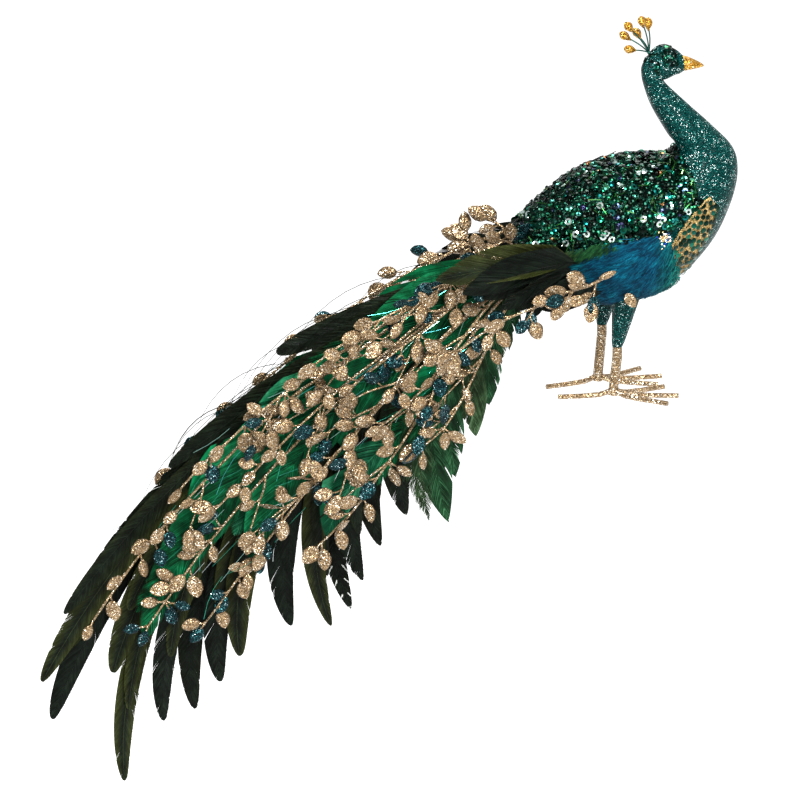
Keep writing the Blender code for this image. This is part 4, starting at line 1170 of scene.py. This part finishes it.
def leaf(bundle, base, direction, face, length, width, curl):
    """A pointed oval leaf, dished along its length, its faces lumpy with glitter."""
    direction = direction.normalized()
    face = (face - direction * face.dot(direction)).normalized()
    side = direction.cross(face)
    turns = [tau * i / LEAF_SIDES for i in range(LEAF_SIDES)]
    rows = []
    for r in range(LEAF_STEPS + 1):
        t = r / LEAF_STEPS
        broad = width / 2 * sin(pi * min(1, 0.03 + 0.97 * t) ** 0.92) ** 0.60
        thick = LEAF_THICKNESS / 2 * sin(pi * (0.08 + 0.84 * t)) ** 0.5
        row = []
        for turn in turns:
            across = cos(turn) * broad
            dish = curl * length * (t - 0.5) ** 2 + copysign(0.48, curl) * across * across / width
            grain = 1 + LEAF_GRAIN * noise.noise((base + direction * t * length + side * across) * 900)
            row.append(base + direction * (length * t) + side * (across * grain)
                       + face * (sin(turn) * thick * grain + dish))
        rows.append(row)
    # the rim mark is 1 at the leaf's two side edges, where the glitter paints shade
    bundle.skin(rows, closed=True, capped=True, rim=[abs(cos(turn)) for turn in turns] * len(rows))


def leafed_spray(gold, teal, stem, start, face, leaves, twigs, thick=STEM_DIAMETER, lean=0.0, loose=1.0):
    """A wandering stem with leaves on stalks left and right of it, and side stems that fork off it."""
    seed = Vector((0, 0, between(0, 50)))

    def wander(share):
        here = stem(share)
        bend = (noise.noise(here * 16 + seed) - lean * 0.6) * 0.010 * min(1, share * 3)
        return here + Vector((0.55, 0, 0.83)) * bend + face * (0.002 * noise.noise(here * 50 + seed))

    shares = [i / STEM_STEPS for i in range(STEM_STEPS + 1)]
    gold.rod([wander(share) for share in shares], [thick / 2 * (1.2 - 0.5 * share) for share in shares],
             face=face)
    for i in range(leaves):
        last = i == leaves - 1
        share = 1.0 if last else start + (1 - start) * (i + 0.5) / leaves
        base = wander(share)
        ahead = (wander(min(share, 0.98) + 0.02) - wander(min(share, 0.98) - 0.02)).normalized()
        across = face.cross(ahead).normalized()
        turns = [0 if last else LEAF_SPLAY * (1 if i % 2 else -1)]
        if chance.random() < SECOND_LEAF:
            turns.append(turns[0] + chance.choice((-52, 48)) + between(-8, 8))
        if not last and chance.random() < THIRD_LEAF:
            turns.append(-turns[0] * between(0.7, 1.2))
        for n, turn in enumerate(turns):
            if lean and (across.z > 0) == (turn > 0):
                turn *= 1 - lean
            turn = radians(turn + between(-9, 9))
            direction = ahead * cos(turn) + across * sin(turn)
            direction += face * between(-0.08, 0.16) * loose
            direction.normalize()
            stalk = STALK_LENGTH * (1.0, 1.25, 1.6)[n] * between(0.7, 1.3)
            tip = base + direction * stalk + face * 0.001
            gold.rod([base, base.lerp(tip, 0.5) + ahead * 0.0010, tip + direction * 0.002],
                     [thick * 0.42, thick * 0.34, thick * 0.34], sides=5, face=face)
            twist = chance.gauss(0, 0.42) * loose
            turned = face * cos(twist) + direction.cross(face) * sin(twist)
            size = between(0.84, 1.22)
            leaf(teal if chance.random() < TEAL_SHARE else gold, tip, direction, turned, LEAF_LENGTH * size,
                 LEAF_WIDTH * size * between(1.0, 1.22), between(-0.35, 0.5) * loose)
    for share, turn, reach, places in twigs:
        base = wander(share)
        ahead = (wander(share + 0.02) - wander(share - 0.02)).normalized()
        down = face.cross(ahead).normalized()
        if down.z > 0:
            down = -down
        turn = radians(turn + between(-5, 5))
        out = (ahead * cos(turn) + down * sin(turn)).normalized()

        def side_stem(share):
            bow = ahead * (reach * 0.25 * share**2)
            return base + out * (reach * share) + bow + face * (0.004 * loose * share)

        leafed_spray(gold, teal, side_stem, 0.30, face, places, [], thick * 0.72, loose=loose)


def spray_stem(side, layer, root, last, end_w):
    """The route of a stem from the rump into its layer of the tail."""
    def stem(share):
        rise = root * ROOT_SPREAD
        rise += (end_w * TAIL_LENGTH - rise) * sin(pi / 2 * share) ** 1.3
        return tail_point(last * TAIL_LENGTH * share, rise, side * layer)
    return stem


for side, label in SIDES:
    teal_leaves = Bundle()
    for n, i in enumerate(range(len(SPRAYS)) if side > 0 else LEFT_SPRAYS):
        layer, root, first, last, end_w = SPRAYS[i]
        end_w -= LEFT_SPRAY_DROOP if side < 0 else 0.0
        gold_part = Bundle()
        twigs = TOP_TWIGS if i in TOP_SPRAYS else LOW_TWIGS if i in LOW_SPRAYS else SIDE_TWIGS
        twigs = (RUMP_TWIGS if i == 0 else []) + twigs[:2 if side > 0 else 1]
        lean, loose = (0.85, 0.6) if i in TOP_SPRAYS else (0.0, 1.0)
        leafed_spray(gold_part, teal_leaves, spray_stem(side, layer, root, last, end_w), first / last,
                     Vector((0, -side, 0)), LEAVES, twigs, lean=lean, loose=loose)
        gold_part.settle(f"gold_spray_{label}_{n + 1}", champagne_glitter, "champagne_glitter",
                         f"leaf_spray_{label}_{n + 1}")
    teal_leaves.settle(f"teal_leaves_{label}", teal_leaf_finish, "teal_glitter")


# Flank spray: one more leafed stem, its root pushed into the down over the right thigh, laid back
# over the wing and out above the tail.
FLANK_ROOT = (2.62, 109)
FLANK_START = 0.19
# where one more leaf hangs out of the down, over the thigh
LOOSE_LEAF = (2.55, 132)
FLANK_TWIGS = [(0.20, 66, 0.012, 2), (0.36, 55, 0.008, 2), (0.60, 50, 0.006, 1)]
FLANK_ROUTE = [(-0.025, 0.0600, 0.118), (-0.060, 0.0605, 0.107), (-0.100, 0.0605, 0.090),
               (-0.140, 0.0600, 0.069)]

flank_line = [hide(*FLANK_ROOT)] + [Vector((x, -depth, z)) for x, depth, z in FLANK_ROUTE]


def flank_stem(share):
    """The flank spray's route, straight between its points."""
    run = min(share, 0.9999) * (len(flank_line) - 1)
    k = int(run)
    return flank_line[k].lerp(flank_line[k + 1], run - k)


flank_gold, flank_teal = Bundle(), Bundle()
outer = Vector((0, -1, 0))
leafed_spray(flank_gold, flank_teal, flank_stem, FLANK_START, outer, LEAVES, FLANK_TWIGS, lean=0.6,
             loose=0.35)
back = (flank_line[0] - flank_line[1]).normalized()
leaf(flank_gold, flank_stem(FLANK_START), back + outer * 0.35, outer, LEAF_LENGTH, LEAF_WIDTH * 0.6, 0.1)
leaf(flank_gold, hide(*LOOSE_LEAF, down_lift(*LOOSE_LEAF)), Vector((0.5, -0.1, -0.8)), Vector((0, -1, -0.5)),
     LEAF_LENGTH * 0.9, LEAF_WIDTH, 0.2)
flank_gold.settle("flank_spray_gold", champagne_glitter, "champagne_glitter", "flank_spray")
flank_teal.settle("flank_spray_teal", teal_leaf_finish, "teal_glitter")
